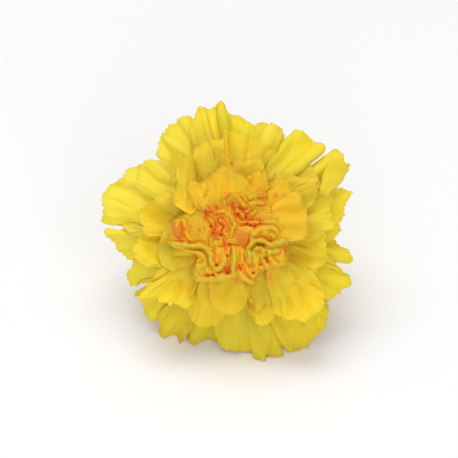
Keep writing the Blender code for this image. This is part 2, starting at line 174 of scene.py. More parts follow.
def softFolds(rng, at, v, spacing, starts):  # folds of many widths, which start and drift as they like
    field = np.zeros((len(at), len(v)))
    place, side = at[0] - spacing, 1
    while place < at[-1] + spacing:
        width = spacing * rng.uniform(*foldHabit["width"])
        centre = place + spacing * rng.uniform(*foldHabit["drift"]) * (1 - v) ** 1.2
        away = (at[:, None] - centre[None, :]) / width
        grows = smoothStep(rng.uniform(*starts), 1.05, v)[None, :]
        field += side * rng.uniform(*foldHabit["size"]) * np.exp(-away ** 2) * grows
        place += spacing * rng.uniform(*foldHabit["gap"])
        side = -side if rng.uniform() < foldHabit["turns"] else side
    return field


cloudCells = 96     # a cloud repeats after this many cells
cloudShift = 500    # keeps the cells' numbers above 0


def cloud(x, y, size, seed):  # smooth random values from 0 to 1 over a plane
    table = np.random.default_rng(seed).uniform(0, 1, (cloudCells + 1, cloudCells + 1))
    x, y = x / size + cloudShift, y / size + cloudShift
    i, j = np.floor(x).astype(int), np.floor(y).astype(int)
    s, t = eased(x - i), eased(y - j)
    i, j = i % cloudCells, j % cloudCells
    low = table[i, j] * (1 - s) + table[i + 1, j] * s
    high = table[i, j + 1] * (1 - s) + table[i + 1, j + 1] * s
    return low * (1 - t) + high * t


def lineDistance(x, y, points):  # how far each point of a plan lies from a line of points
    nearest = np.full(x.shape, np.inf)
    for (ax, ay), (bx, by) in zip(points, points[1:]):
        share = ((x - ax) * (bx - ax) + (y - ay) * (by - ay)) / ((bx - ax) ** 2 + (by - ay) ** 2)
        share = np.clip(share, 0, 1)
        nearest = np.minimum(nearest, np.hypot(x - ax - share * (bx - ax), y - ay - share * (by - ay)))
    return nearest


def nearSpot(x, y, spot, sharp=2):  # 1 at the middle of a round spot, and fading to 0 round it
    return np.exp(-(np.hypot(x - spot[0], y - spot[1]) / spot[2]) ** sharp)


def unitRows(vectors):
    return vectors / np.maximum(np.linalg.norm(vectors, axis=2, keepdims=True), 1e-9)


def neighbourSum(padded):
    return padded[:-2, 1:-1] + padded[2:, 1:-1] + padded[1:-1, :-2] + padded[1:-1, 2:]


def sheetNormals(grid):  # unit normals on the side that faces whoever looks into the bloom
    normals = unitRows(np.cross(np.gradient(grid, axis=1), np.gradient(grid, axis=0)))
    return unitRows(2 * normals + neighbourSum(np.pad(normals, ((1, 1), (1, 1), (0, 0)), mode="edge")))


# Room that the petals placed so far take, as a map of heights over the bloom's plan
room = {
    "reach": 46.0, "cell": 0.5,
    "step": 0.42,                   # mm from the middle of one petal to the middle of the next one up
    "from": 7.0, "full": 10.5,      # petals start to lie on each other between these distances from the axis
    "spread": 36, "soften": 2,      # rounds
    "fill": 4,                      # points worked out along each side of a face
    "empty": -90.0,
}
roomSize = round(2 * room["reach"] / room["cell"]) + 1
roomHeights = np.full((roomSize, roomSize), room["empty"])


def roomCells(points):
    index = np.round((points[..., :2] + room["reach"]) / room["cell"]).astype(int)
    index = np.clip(index, 0, roomSize - 1)
    return index[..., 0], index[..., 1]


def averageRound(values):
    return neighbourSum(np.pad(values, 1, mode="edge")) / 4


def drape(grid):  # lays a petal over those under it, as a soft sheet lies over folds
    padded = np.pad(roomHeights, 1, mode="edge")
    near = np.max([padded[i:i + roomSize, j:j + roomSize] for i in range(3) for j in range(3)], axis=0)
    table = tableHeight(grid[..., 1]) + headLay["tableClear"] * math.hypot(1, leanSlope)
    need = np.maximum(np.maximum(near[roomCells(grid)], table) - grid[..., 2], 0)
    need = need * smoothStep(room["from"], room["full"], np.linalg.norm(grid[..., :2], axis=2))
    lift = need
    for _ in range(room["spread"]):
        lift = np.maximum(need, averageRound(lift))
    for _ in range(room["soften"]):
        lift = averageRound(lift)
    grid = grid.copy()
    grid[..., 2] = np.maximum(grid[..., 2] + lift, table)
    return grid


def fillRoom(grid):
    a, b, c, d = grid[:-1, :-1], grid[1:, :-1], grid[1:, 1:], grid[:-1, 1:]
    for s in np.linspace(0, 1, room["fill"]):
        for t in np.linspace(0, 1, room["fill"]):
            point = (1 - s) * (1 - t) * a + s * (1 - t) * b + s * t * c + (1 - s) * t * d
            np.maximum.at(roomHeights, roomCells(point), point[..., 2] + room["step"])


# What most blades share, unless a whorl or a petal further down says otherwise. A pair is a range of the way
# across a petal from its middle line, or of the way from its foot to its rim.
bladeForm = {
    "column": 0.3, "rows": 30, "thick": 0.32, "bulge": 0.1, "fold": 0.45, "foldDepth": 1.9, "waves": 0.4,
    "sway": 1.6, "ruffle": 0.8, "toothSpacing": 1.3, "warmFade": 0.4, "flush": 1,
    "rowEase": 1.35,             # brings the rows closer together towards the rim
    "tuckAcross": (0.34, 0.5), "tuckAlong": (0.2, 0.7),
    "rise": (0.45, 1), "outer": (0.35, 1), "calmSides": (0.38, 0.5),
    "crimpBand": (0.72, 1), "toothBand": (0.82, 1), "curlBand": (0.78, 1), "edgeBand": (0.955, 1),
    # painted shade: over this share of the way to the rim, a blade darkens towards lime
    "greenFrom": (0.6, 0.97),
    "driftX": 7.0, "driftY": 8.0,  # mm over which these shapes change, and the six below
    "bigCrumple": 4.6, "waveSize": 3.0, "fineCrumple": 1.9, "crimpSize": 0.95, "cutSpacing": 6.0,
    "meanderSize": 1.9,
    "waveStretch": 2.6,          # how much longer across the petal than along it
    "warmReach": (8, 34),        # mm from the axis, over which warmFade fades
    "rimTaper": 0.45,            # thickness at the rim, as a share
}
flameWidth = 0.3  # half the width of a red line


def polarRim(rim, shoulder):  # plan points of a rim, with a shoulder at either end where the sides begin
    first, last = rim[0], rim[-1]
    turn = shoulder["width"] / shoulder["reach"]
    ends = [(first[0] - math.degrees(turn / first[1]), first[1] * shoulder["reach"]),
            (last[0] + math.degrees(turn / last[1]), last[1] * shoulder["reach"])]
    points = []
    for azimuth, reach in [ends[0], *rim, ends[1]]:
        angle = math.radians(azimuth)
        points.append((reach * math.cos(angle), reach * math.sin(angle)))
    return points


def columnLine(points, look):  # a third number is how much a point rises
    return smoothCurve([(*point, 0)[:3] for point in points], look["column"])


def bladeLines(look):  # a petal's rim, foot and line of bending, with a point for each of its columns
    rim, at = columnLine(look["path"] if "path" in look else polarRim(look["rim"], look["shoulder"]), look)
    chord = rim[-1, :2] - rim[0, :2]
    share = at / at[-1]
    across = (share - 0.5)[:, None]
    if "feet" in look:
        line, lineAt = columnLine(look["feet"], look)
        feet = np.column_stack([np.interp(share * lineAt[-1], lineAt, column) for column in line.T])
        feet, footRise = feet[:, :2], feet[:, 2:]
    else:
        direction = math.radians(look["azimuth"])
        outward = np.array([math.cos(direction), math.sin(direction)])
        feet = look["foot"][0] * outward + across * look["claw"] * (chord / np.linalg.norm(chord))
        footRise = np.zeros((len(at), 1))
    bend = feet + look["fold"] * (rim[:, :2] - feet) + look["bulge"] * across * chord
    return {"rim": rim, "at": at, "across": np.abs(across), "feet": feet, "footRise": footRise, "bend": bend}


def bladeSurface(look, blade, v, seed, rng):  # the smooth sheet, before its folds
    rim, feet = blade["rim"], blade["feet"]
    weights = [(1 - v) ** 3, 3 * (1 - v) ** 2 * v, 3 * (1 - v) * v ** 2, v ** 3]
    lines = (feet, feet, blade["bend"], rim[:, :2])
    plan = sum(weight[None, :, None] * line[:, None, :] for weight, line in zip(weights, lines))
    sway = look["sway"] * np.sin(math.pi * v) ** 2
    for axis, size in enumerate((look["driftX"], look["driftY"])):
        drift = cloud(plan[..., 0], plan[..., 1], size, 200 + 2 * seed + axis) - 0.5
        plan[..., axis] += 2 * sway[None, :] * drift
    rise = rim[:, 2][:, None] * smoothStep(*look["rise"], v)[None, :]
    tuck = look["tuck"] * smoothStep(*look["tuckAcross"], blade["across"])
    tuck = tuck * smoothStep(*look["tuckAlong"], v)[None, :]
    ruffle = look["ruffle"] * wander(rng, blade["at"], look["rufflePeriod"] / 2)[:, None]
    ruffle = ruffle * smoothStep(*look["outer"], v)[None, :] ** 1.5
    foot, top = look["foot"][1], look["height"]
    heights = (foot, foot + look["lift"], top + look["arch"], top)
    level = sum(weight * height for weight, height in zip(weights, heights))
    return np.dstack([plan, level[None, :] + blade["footRise"] * (1 - v) ** 2 + rise - tuck + ruffle])


def bladeRelief(look, blade, grid, v, seed, rng):  # how far each point stands out of the smooth sheet
    at = blade["at"]
    middle = len(at) // 2
    down = v * np.linalg.norm(blade["rim"][middle, :2] - blade["feet"][middle])
    down = np.broadcast_to(down[None, :], grid.shape[:2])
    across = at[:, None] * (0.35 + 0.65 * v[None, :])
    outer = smoothStep(*look["outer"], v)[None, :] ** 0.5
    relief = look["pleat"] * look["foldDepth"] * softFolds(rng, at, v, look["foldSpacing"], look["foldStart"])
    for size, stretch, amount, base in ((look["bigCrumple"], 1, 2 * look["crumple"], 500),
                                        (look["waveSize"], look["waveStretch"], 2 * look["waves"], 600),
                                        (look["fineCrumple"], 1, 0.5 * look["crumple"], 700)):
        relief = relief + amount * (cloud(across / stretch, down, size, base + seed) - 0.5) * outer
    crimp = look["crimp"] * wander(rng, at, look["crimpSize"])[:, None]
    relief = relief + crimp * smoothStep(*look["crimpBand"], v)[None, :] ** 1.5
    for rise, width, line in look.get("creases", ()):
        relief = relief + rise * np.exp(-(lineDistance(grid[..., 0], grid[..., 1], line) / width) ** 2)
    return relief * (1 - 0.8 * smoothStep(*look["calmSides"], blade["across"]))


def frillRim(look, blade, grid, v, rng):  # teeth, cuts and curl at the rim
    at = blade["at"]
    teeth = toothLine(rng, at, look["toothSpacing"], look["tooth"])
    teeth = teeth + rimCuts(rng, at, look["cutSpacing"], look["cut"])
    teeth = teeth + look["meander"] * wander(rng, at, look["meanderSize"])
    outwards = np.gradient(grid, axis=1)[:, -1]
    outwards = outwards / np.linalg.norm(outwards, axis=1, keepdims=True)
    grid = grid + (teeth[:, None] * outwards)[:, None, :] * smoothStep(*look["toothBand"], v)[None, :, None]
    grid[..., 2] += look["curl"] * smoothStep(*look["curlBand"], v)[None, :] ** 1.5
    return grid


def fanPetal(whorl, petal, seed):  # one petal: columns of points from its claw to its rim
    rng = np.random.default_rng(seed)
    look = {**bladeForm, **whorl, **petal}
    blade = bladeLines(look)
    v = 1 - (1 - np.linspace(0, 1, look["rows"])) ** bladeForm["rowEase"]
    grid = bladeSurface(look, blade, v, seed, rng)
    grid = grid + bladeRelief(look, blade, grid, v, seed, rng)[:, :, None] * sheetNormals(grid)
    grid = drape(frillRim(look, blade, grid, v, rng))
    fillRoom(grid)
    return dressSheet(look, blade, grid, v, seed)


def dressSheet(look, blade, grid, v, seed):  # what the material reads at each point
    ones = np.ones(grid.shape[:2])
    reach = np.linalg.norm(grid[..., :2], axis=2)
    flush = (1 - smoothStep(*look["flushFade"], reach)) * look["flush"]
    redMarkAndHoleShade = np.zeros_like(reach)
    for spot in look.get("spots", ()):  # past 1, a spot's amount is a red mark; below 1 it adds orange flush, which on some blades is painted shade
        near = nearSpot(grid[..., 0], grid[..., 1], spot)
        flush = flush + min(spot[3], 1) * near
        redMarkAndHoleShade = redMarkAndHoleShade + max(spot[3] - 1, 0) * near
    warm = look["warm"] + look["warmFade"] * (1 - smoothStep(*look["warmReach"], reach))
    # painted shade: towards the rim a blade darkens towards lime, standing for the shade inside its cupped
    # rim
    green = look["green"] * smoothStep(*look["greenFrom"], v)[None, :] * ones
    # partly painted shade: a thin browned rim, darkened also for the shade along it
    edge = look["edge"] * smoothStep(*look["edgeBand"], v)[None, :] * ones
    tint = np.stack([np.clip(warm, -1, 1), np.clip(flush, 0, 1), green], axis=2)
    fan = np.stack([blade["at"][:, None] * ones, reach, seed * 7.3 * ones], axis=2)
    return {"grid": grid, "thick": look["thick"], "petalTint": tint, "petalFan": fan,
            "petalRimBrowningAndShade": edge, "petalRedMarkAndHoleShade": redMarkAndHoleShade}


def bladeMesh(name, sheets):  # closed thin blades round the sheets, all in one mesh
    points, quads = [], []
    values = {key: [] for key in ("petalTint", "petalFan", "petalRimBrowningAndShade", "petalRedMarkAndHoleShade")}
    start = 0
    for sheet in sheets:
        grid = sheet["grid"]
        columns, rows = grid.shape[:2]
        taper = np.linspace(1, bladeForm["rimTaper"], rows)[None, :, None]
        half = sheetNormals(grid) * sheet["thick"] / 2 * taper
        points += [(grid + half).reshape(-1, 3), (grid - half).reshape(-1, 3)]
        for key in values:
            flat = sheet[key].reshape(columns * rows, -1)
            values[key] += [flat, flat]
        under = columns * rows
        index = start + np.arange(under).reshape(columns, rows)
        corners = (index[:-1, :-1], index[:-1, 1:], index[1:, 1:], index[1:, :-1])
        a, b, c, d = (part.ravel() for part in corners)
        quads += [np.column_stack([a, b, c, d]), np.column_stack([d, c, b, a]) + under]
        ring = np.concatenate([index[0], index[1:, -1], index[-1, -2::-1], index[-2:0:-1, 0]])
        after = np.roll(ring, -1)
        quads.append(np.column_stack([ring, ring + under, after + under, after]))
        start += 2 * under
    values = {key: np.concatenate(parts) for key, parts in values.items()}
    return bloomMesh(name, np.concatenate(points), np.concatenate(quads), values)


# Shader nodes
def setInputs(tree, node, values):  # a socket is linked, and anything else is set as it is
    for name, value in values.items():
        if isinstance(value, bpy.types.NodeSocket):
            tree.links.new(value, node.inputs[name])
        else:
            node.inputs[name].default_value = value


def addNode(tree, kind, inputs=None, **settings):
    made = tree.nodes.new(kind)
    for name, value in settings.items():
        setattr(made, name, value)
    setInputs(tree, made, inputs or {})
    return made


def mathNode(tree, operation, *values, clamp=False):
    made = addNode(tree, "ShaderNodeMath", dict(enumerate(values)), operation=operation, use_clamp=clamp)
    return made.outputs[0]


def weighted(tree, first, firstShare, second, secondShare):
    return mathNode(tree, "ADD", mathNode(tree, "MULTIPLY", first, firstShare),
                    mathNode(tree, "MULTIPLY", second, secondShare))


def mixColour(tree, factor, first, second):
    sockets = {0: factor, 6: first, 7: second}
    for key in (6, 7):
        if not isinstance(sockets[key], bpy.types.NodeSocket):
            sockets[key] = (*sockets[key], 1)
    return addNode(tree, "ShaderNodeMix", sockets, data_type="RGBA").outputs[2]


def noiseNode(tree, place, scale, detail, roughness=0.5):
    inputs = {"Vector": place, "Scale": scale, "Detail": detail, "Roughness": roughness}
    return addNode(tree, "ShaderNodeTexNoise", inputs).outputs[0]


def rangeNode(tree, value, low, high, newLow=0.0, newHigh=1.0, kind="LINEAR"):
    inputs = {"Value": value, "From Min": low, "From Max": high, "To Min": newLow, "To Max": newHigh}
    return addNode(tree, "ShaderNodeMapRange", inputs, interpolation_type=kind).outputs[0]


def pointValue(tree, name, output):
    return addNode(tree, "ShaderNodeAttribute", attribute_name=name).outputs[output]


def splitVector(tree, vector):
    return addNode(tree, "ShaderNodeSeparateXYZ", {0: vector}).outputs


def stretched(tree, place, scale):
    return addNode(tree, "ShaderNodeVectorMath", {0: place, 1: scale}, operation="MULTIPLY").outputs[0]


def newMaterial(name):
    material = bpy.data.materials.new(name)
    material.use_nodes = True
    return material, material.node_tree, material.node_tree.nodes["Principled BSDF"]


def bumpNode(tree, height, strength, depth):
    inputs = {"Height": height, "Strength": strength, "Distance": depth * mm}
    return addNode(tree, "ShaderNodeBump", inputs).outputs[0]


petalPaint = {
    "pale": (0.92, 0.68, 0.11),        # paler outer blades, where warm is below 0: partly pale tint, partly painted highlight where the light falls
    "lemon": (0.92, 0.67, 0.036),      # broad outer blades
    "gold": (0.92, 0.49, 0.015),       # deeper, inner blades
    "orange": (0.98, 0.35, 0.018),     # flush at the throat
    "red": (0.80, 0.115, 0.018),       # flame lines along the veins; also painted shade in the heart's holes
    "lime": (0.67, 0.49, 0.035),       # greenish lips of the crumpled middle; towards blade rims it is painted shade
    "rimBrowningAndShade": (0.42, 0.21, 0.03),     # thin browned rim, partly painted shade along the rim
    "veins": (1.9, 0.07, 1.0),         # how fast a pattern changes across a petal, along it and between them
    "streaks": (1.35, 0.16, 1.0),
    "clouds": (0.16, 0.11, 1.0),
    "cloudShift": 0.5, "veinShade": 0.16,
    "roughness": 0.52, "roughnessSpread": 0.07,
    "veinBump": 0.35, "veinDepth": 0.25,
    "sheen": 0.02,
    "glow": 0.60,                      # share of light that passes into the blade
    "glowDepth": 1.4,
}


def petalMaterial():
    paint = petalPaint
    material, tree, shader = newMaterial("petalSkin")
    # the third tint channel is painted rim shade on the blades and the real lime of the heart's lips
    warm, flush, green = splitVector(tree, pointValue(tree, "petalTint", "Vector"))
    fan = pointValue(tree, "petalFan", "Vector")
    edge, redMarkAndHoleShade = pointValue(tree, "petalRimBrowningAndShade", "Fac"), pointValue(tree, "petalRedMarkAndHoleShade", "Fac")
    veins = noiseNode(tree, stretched(tree, fan, paint["veins"]), 1.0, 3.0, 0.6)
    streaks = noiseNode(tree, stretched(tree, fan, paint["streaks"]), 1.0, 2.0)
    clouds = noiseNode(tree, stretched(tree, fan, paint["clouds"]), 1.0, 2.0)
    grain = noiseNode(tree, fan, 5.0, 2.0)
    shifted = mathNode(tree, "MULTIPLY_ADD", clouds, paint["cloudShift"], -paint["cloudShift"] / 2)
    warmth = mathNode(tree, "ADD", warm, shifted, clamp=True)
    # paler where warm is below 0: pale tint, and on the left and top guard blades a painted highlight
    paleTintAndHighlight = mathNode(tree, "MULTIPLY", mathNode(tree, "ADD", warm, shifted), -1.0, clamp=True)
    flushSoft = rangeNode(tree, flush, 0.05, 0.85, kind="SMOOTHSTEP")
    streakSum = mathNode(tree, "MULTIPLY_ADD", flush, 0.15, streaks)
    streakMask = rangeNode(tree, streakSum, 0.61, 0.76, kind="SMOOTHSTEP")
    hasFlush = mathNode(tree, "MULTIPLY", streakMask, mathNode(tree, "MULTIPLY", flush, 2.2, clamp=True))
    colour = mixColour(tree, warmth, paint["lemon"], paint["gold"])
    veinShade = rangeNode(tree, veins, 0.35, 0.7, 0.0, paint["veinShade"])
    for factor, tone in ((paleTintAndHighlight, "pale"), (veinShade, "gold"), (flushSoft, "orange"), (hasFlush, "red"),
                         (green, "lime"), (redMarkAndHoleShade, "red"), (edge, "rimBrowningAndShade")):
        colour = mixColour(tree, factor, colour, paint[tone])
    relief = weighted(tree, veins, 0.8, grain, 0.2)
    middle, spread = paint["roughness"], paint["roughnessSpread"]
    setInputs(tree, shader, {
        "Base Color": colour, "Normal": bumpNode(tree, relief, paint["veinBump"], paint["veinDepth"]),
        "Roughness": rangeNode(tree, grain, 0.0, 1.0, middle - spread, middle + spread),
        "Specular IOR Level": 0.18,
        "Sheen Weight": paint["sheen"], "Subsurface Weight": paint["glow"],
        "Subsurface Radius": (1.0, 0.7, 0.12), "Subsurface Scale": paint["glowDepth"] * mm})
    return material


def petal(azimuth, height, arch, pleat, rim, **extra):  # a petal whose rim is written round the axis
    return {"azimuth": azimuth, "height": height, "arch": arch, "pleat": pleat, "rim": rim, **extra}


def sheet(azimuth, height, path, **extra):  # a petal whose rim is written as plan points, counterclockwise
    return {"azimuth": azimuth, "height": height, "path": path, **extra}


# Each petal lies over those written before it. A petal's rim is written point by point as azimuth in degrees
# and distance from the axis. In a sheet's path or feet, a third number is how much that point rises. A
# crease is how far it rises, its width and its line in plan. A spot is its place in plan, its radius and
# how much; the spots of orange-brown flush under rims and in gaps are painted shade and shadow, and the
# lime tint towards a rim is painted shade. First the broad guard petals, then the middle ones and those
# that stand over the heart.
guardWhorl = {
    "shoulder": {"width": 3.6, "reach": 0.76}, "foot": (5.2, 1.5), "lift": 9, "claw": 2.4, "foldSpacing": 7,
    "foldStart": (0.1, 0.6), "crumple": 0.9, "meander": 0.4, "crimp": 0.15, "tooth": 0.5,
    "toothSpacing": 1.35, "cut": 1, "curl": 0, "bulge": 0.3, "tuck": 2, "ruffle": 1, "rufflePeriod": 8,
    "warm": 0.05, "flushFade": (7, 15), "edge": 0.2, "green": 0,
}
guardPetals = [
    # warm below 0 makes the left and top guard blades paler: partly pale tint, partly painted highlight where
    # the light falls
    petal(189, 0, 5, 0.9, [(179.2, 32.4), (180.2, 37.2), (182, 36.6), (185, 35.3), (191, 34.4),
        (196, 31.2)], warm=-0.3),
    petal(222, -8, 5, 0.8, [(210.6, 28.6), (213.7, 33.7), (219, 33.9), (225, 35.6), (229.6, 35),
        (232.6, 32)], warm=-0.15),
    petal(259, -8, 6, 0.9, [(247.6, 33.4), (251.3, 35.7), (258, 34.2), (264, 33.1), (271, 33)]),
    # painted shadow: warm and the spots make this blade deeper and more orange below the rim of the ruffle
    # over it
    petal(306, -4, 5, 1.2, [(286, 38.6), (289.3, 40.2), (293.6, 40.4), (294.8, 38.2), (297, 40.8),
        (302.8, 42.3), (308.7, 41.4), (312, 41.5), (318.5, 39.1), (324, 37.5), (329, 35.5)], warm=0.2,
        spots=[(14, -27.6, 1.6, 0.3), (18, -28.4, 1.8, 0.35), (22, -28.2, 1.6, 0.3), (26, -26, 1.4, 0.25)]),
    petal(350, 1, 5, 0.9, [(342.6, 33), (345.3, 37.8), (347.6, 38), (350.5, 36.7), (355, 33.4),
        (359.5, 30)]),
    petal(30, 2, 5, 1, [(22.6, 35.1), (25.7, 39.1), (29, 41.4), (31.4, 40.2), (33.4, 40.4), (35, 40.8),
        (34.6, 38.6), (33.2, 36.4), (31.8, 33.4)], tuck=1, tooth=0.8,
        creases=[(-1.3, 0.8, [(26, 15.2), (28, 16), (31, 18), (34.6, 19.2)]),
            (0.9, 1, [(26, 17.6), (30, 20), (33.8, 21.8)])]),
    petal(68, 3, 4, 0.8, [(59, 33), (61.4, 34.4), (66, 34.8), (71.8, 34.9), (76, 33.8)], warm=-0.15),
    petal(121, 2, 4, 1, [(107.6, 35.6), (112.5, 37.1), (116, 36.3), (121, 36.5), (125, 36.2), (129, 34.3),
        (132, 31)], warm=-0.35,
        creases=[(0.9, 1, [(-19.4, 28), (-13, 23)]), (-1, 0.8, [(-15.4, 34), (-13, 29), (-10, 25)])]),
    petal(158, 1, 5, 0.9, [(131.5, 30), (136, 31), (140, 33.1), (146, 35.8), (149.5, 36.6), (152, 35.7),
        (158, 38.4), (164, 39.7), (168, 38.5), (175.6, 38.3), (176.9, 32.6)], warm=-0.35, tuck=1,
        creases=[(-1, 0.9, [(-28.4, 18), (-29, 10), (-27.5, 5)]),
            (-0.9, 0.8, [(-25, 19), (-23.5, 16.5), (-20, 14.6)]),
            (-0.8, 0.7, [(-36, 10), (-33, 9), (-30, 7.5)]), (0.8, 1.2, [(-27, 20), (-25.6, 12)])]),
    petal(202, -2, 5, 0.8, [(195.6, 30.3), (199, 32.2), (203, 33.7), (208.6, 34), (211, 28.8)], warm=-0.2),
    petal(240, -12, 5, 0.8, [(232, 32.2), (233.8, 36.7), (238.5, 37.5), (243, 36.6), (246.4, 37.6),
        (248.4, 33.4)]),
    petal(277, -4, 5, 0.9, [(266, 32.5), (270, 35.3), (276, 36.3), (280, 37.8), (281.8, 39.7),
        (285.4, 40.5), (287.4, 38)]),
    petal(333, 1, 5, 0.9, [(322, 33), (327, 36.7), (332, 38.3), (336.8, 40.1), (341.4, 36.4), (343.4, 33)]),
    petal(10, 3, 5, 0.9, [(356.6, 31.8), (361.6, 33.6), (366, 34.5), (372.4, 35.5), (377.4, 39.2),
        (381, 37.8), (383.2, 34.6)]),
    petal(101, 5, 4, 1, [(92, 35), (94.4, 38.4), (96, 38.8), (97, 38.4), (98.6, 38.1), (100, 38.5),
        (102.6, 39), (105, 38.8), (106.8, 37)], warm=-0.25, tooth=0.35, meander=0.15, cut=0.3, tuck=0.5,
        creases=[(-0.8, 0.6, [(-8.4, 36.5), (-6.9, 27.5)]), (0.8, 0.9, [(-7.1, 36.5), (-5.6, 27.5)]),
            (-0.6, 0.8, [(-4.1, 38.5), (-2.8, 30)])]),
    sheet(84, 5, [(9, 20), (8.8, 28), (8, 31.8), (6.8, 32.7), (5, 33.7), (3.6, 34.9), (2.2, 35.3),
        (0.9, 35.7), (0, 36.8), (-0.8, 37.9), (-1.6, 38.7), (-2.3, 39.4), (-2.5, 39.1), (-2.4, 38),
        (-2.2, 36.5), (-1.9, 34), (-1.5, 31.4), (-1.2, 28), (-2, 20)], arch=5, pleat=0.4, tooth=0.2,
        meander=0.05, cut=0.1, tuck=0, ruffle=0.2, sway=0.2, bulge=0, crumple=0.5,
        creases=[(0.8, 0.8, [(-2.2, 38.4), (-0.2, 29)]), (-0.9, 1.1, [(-0.3, 36.5), (2, 29)]),
            (0.5, 1, [(3.4, 34), (4.4, 29)])]),
]

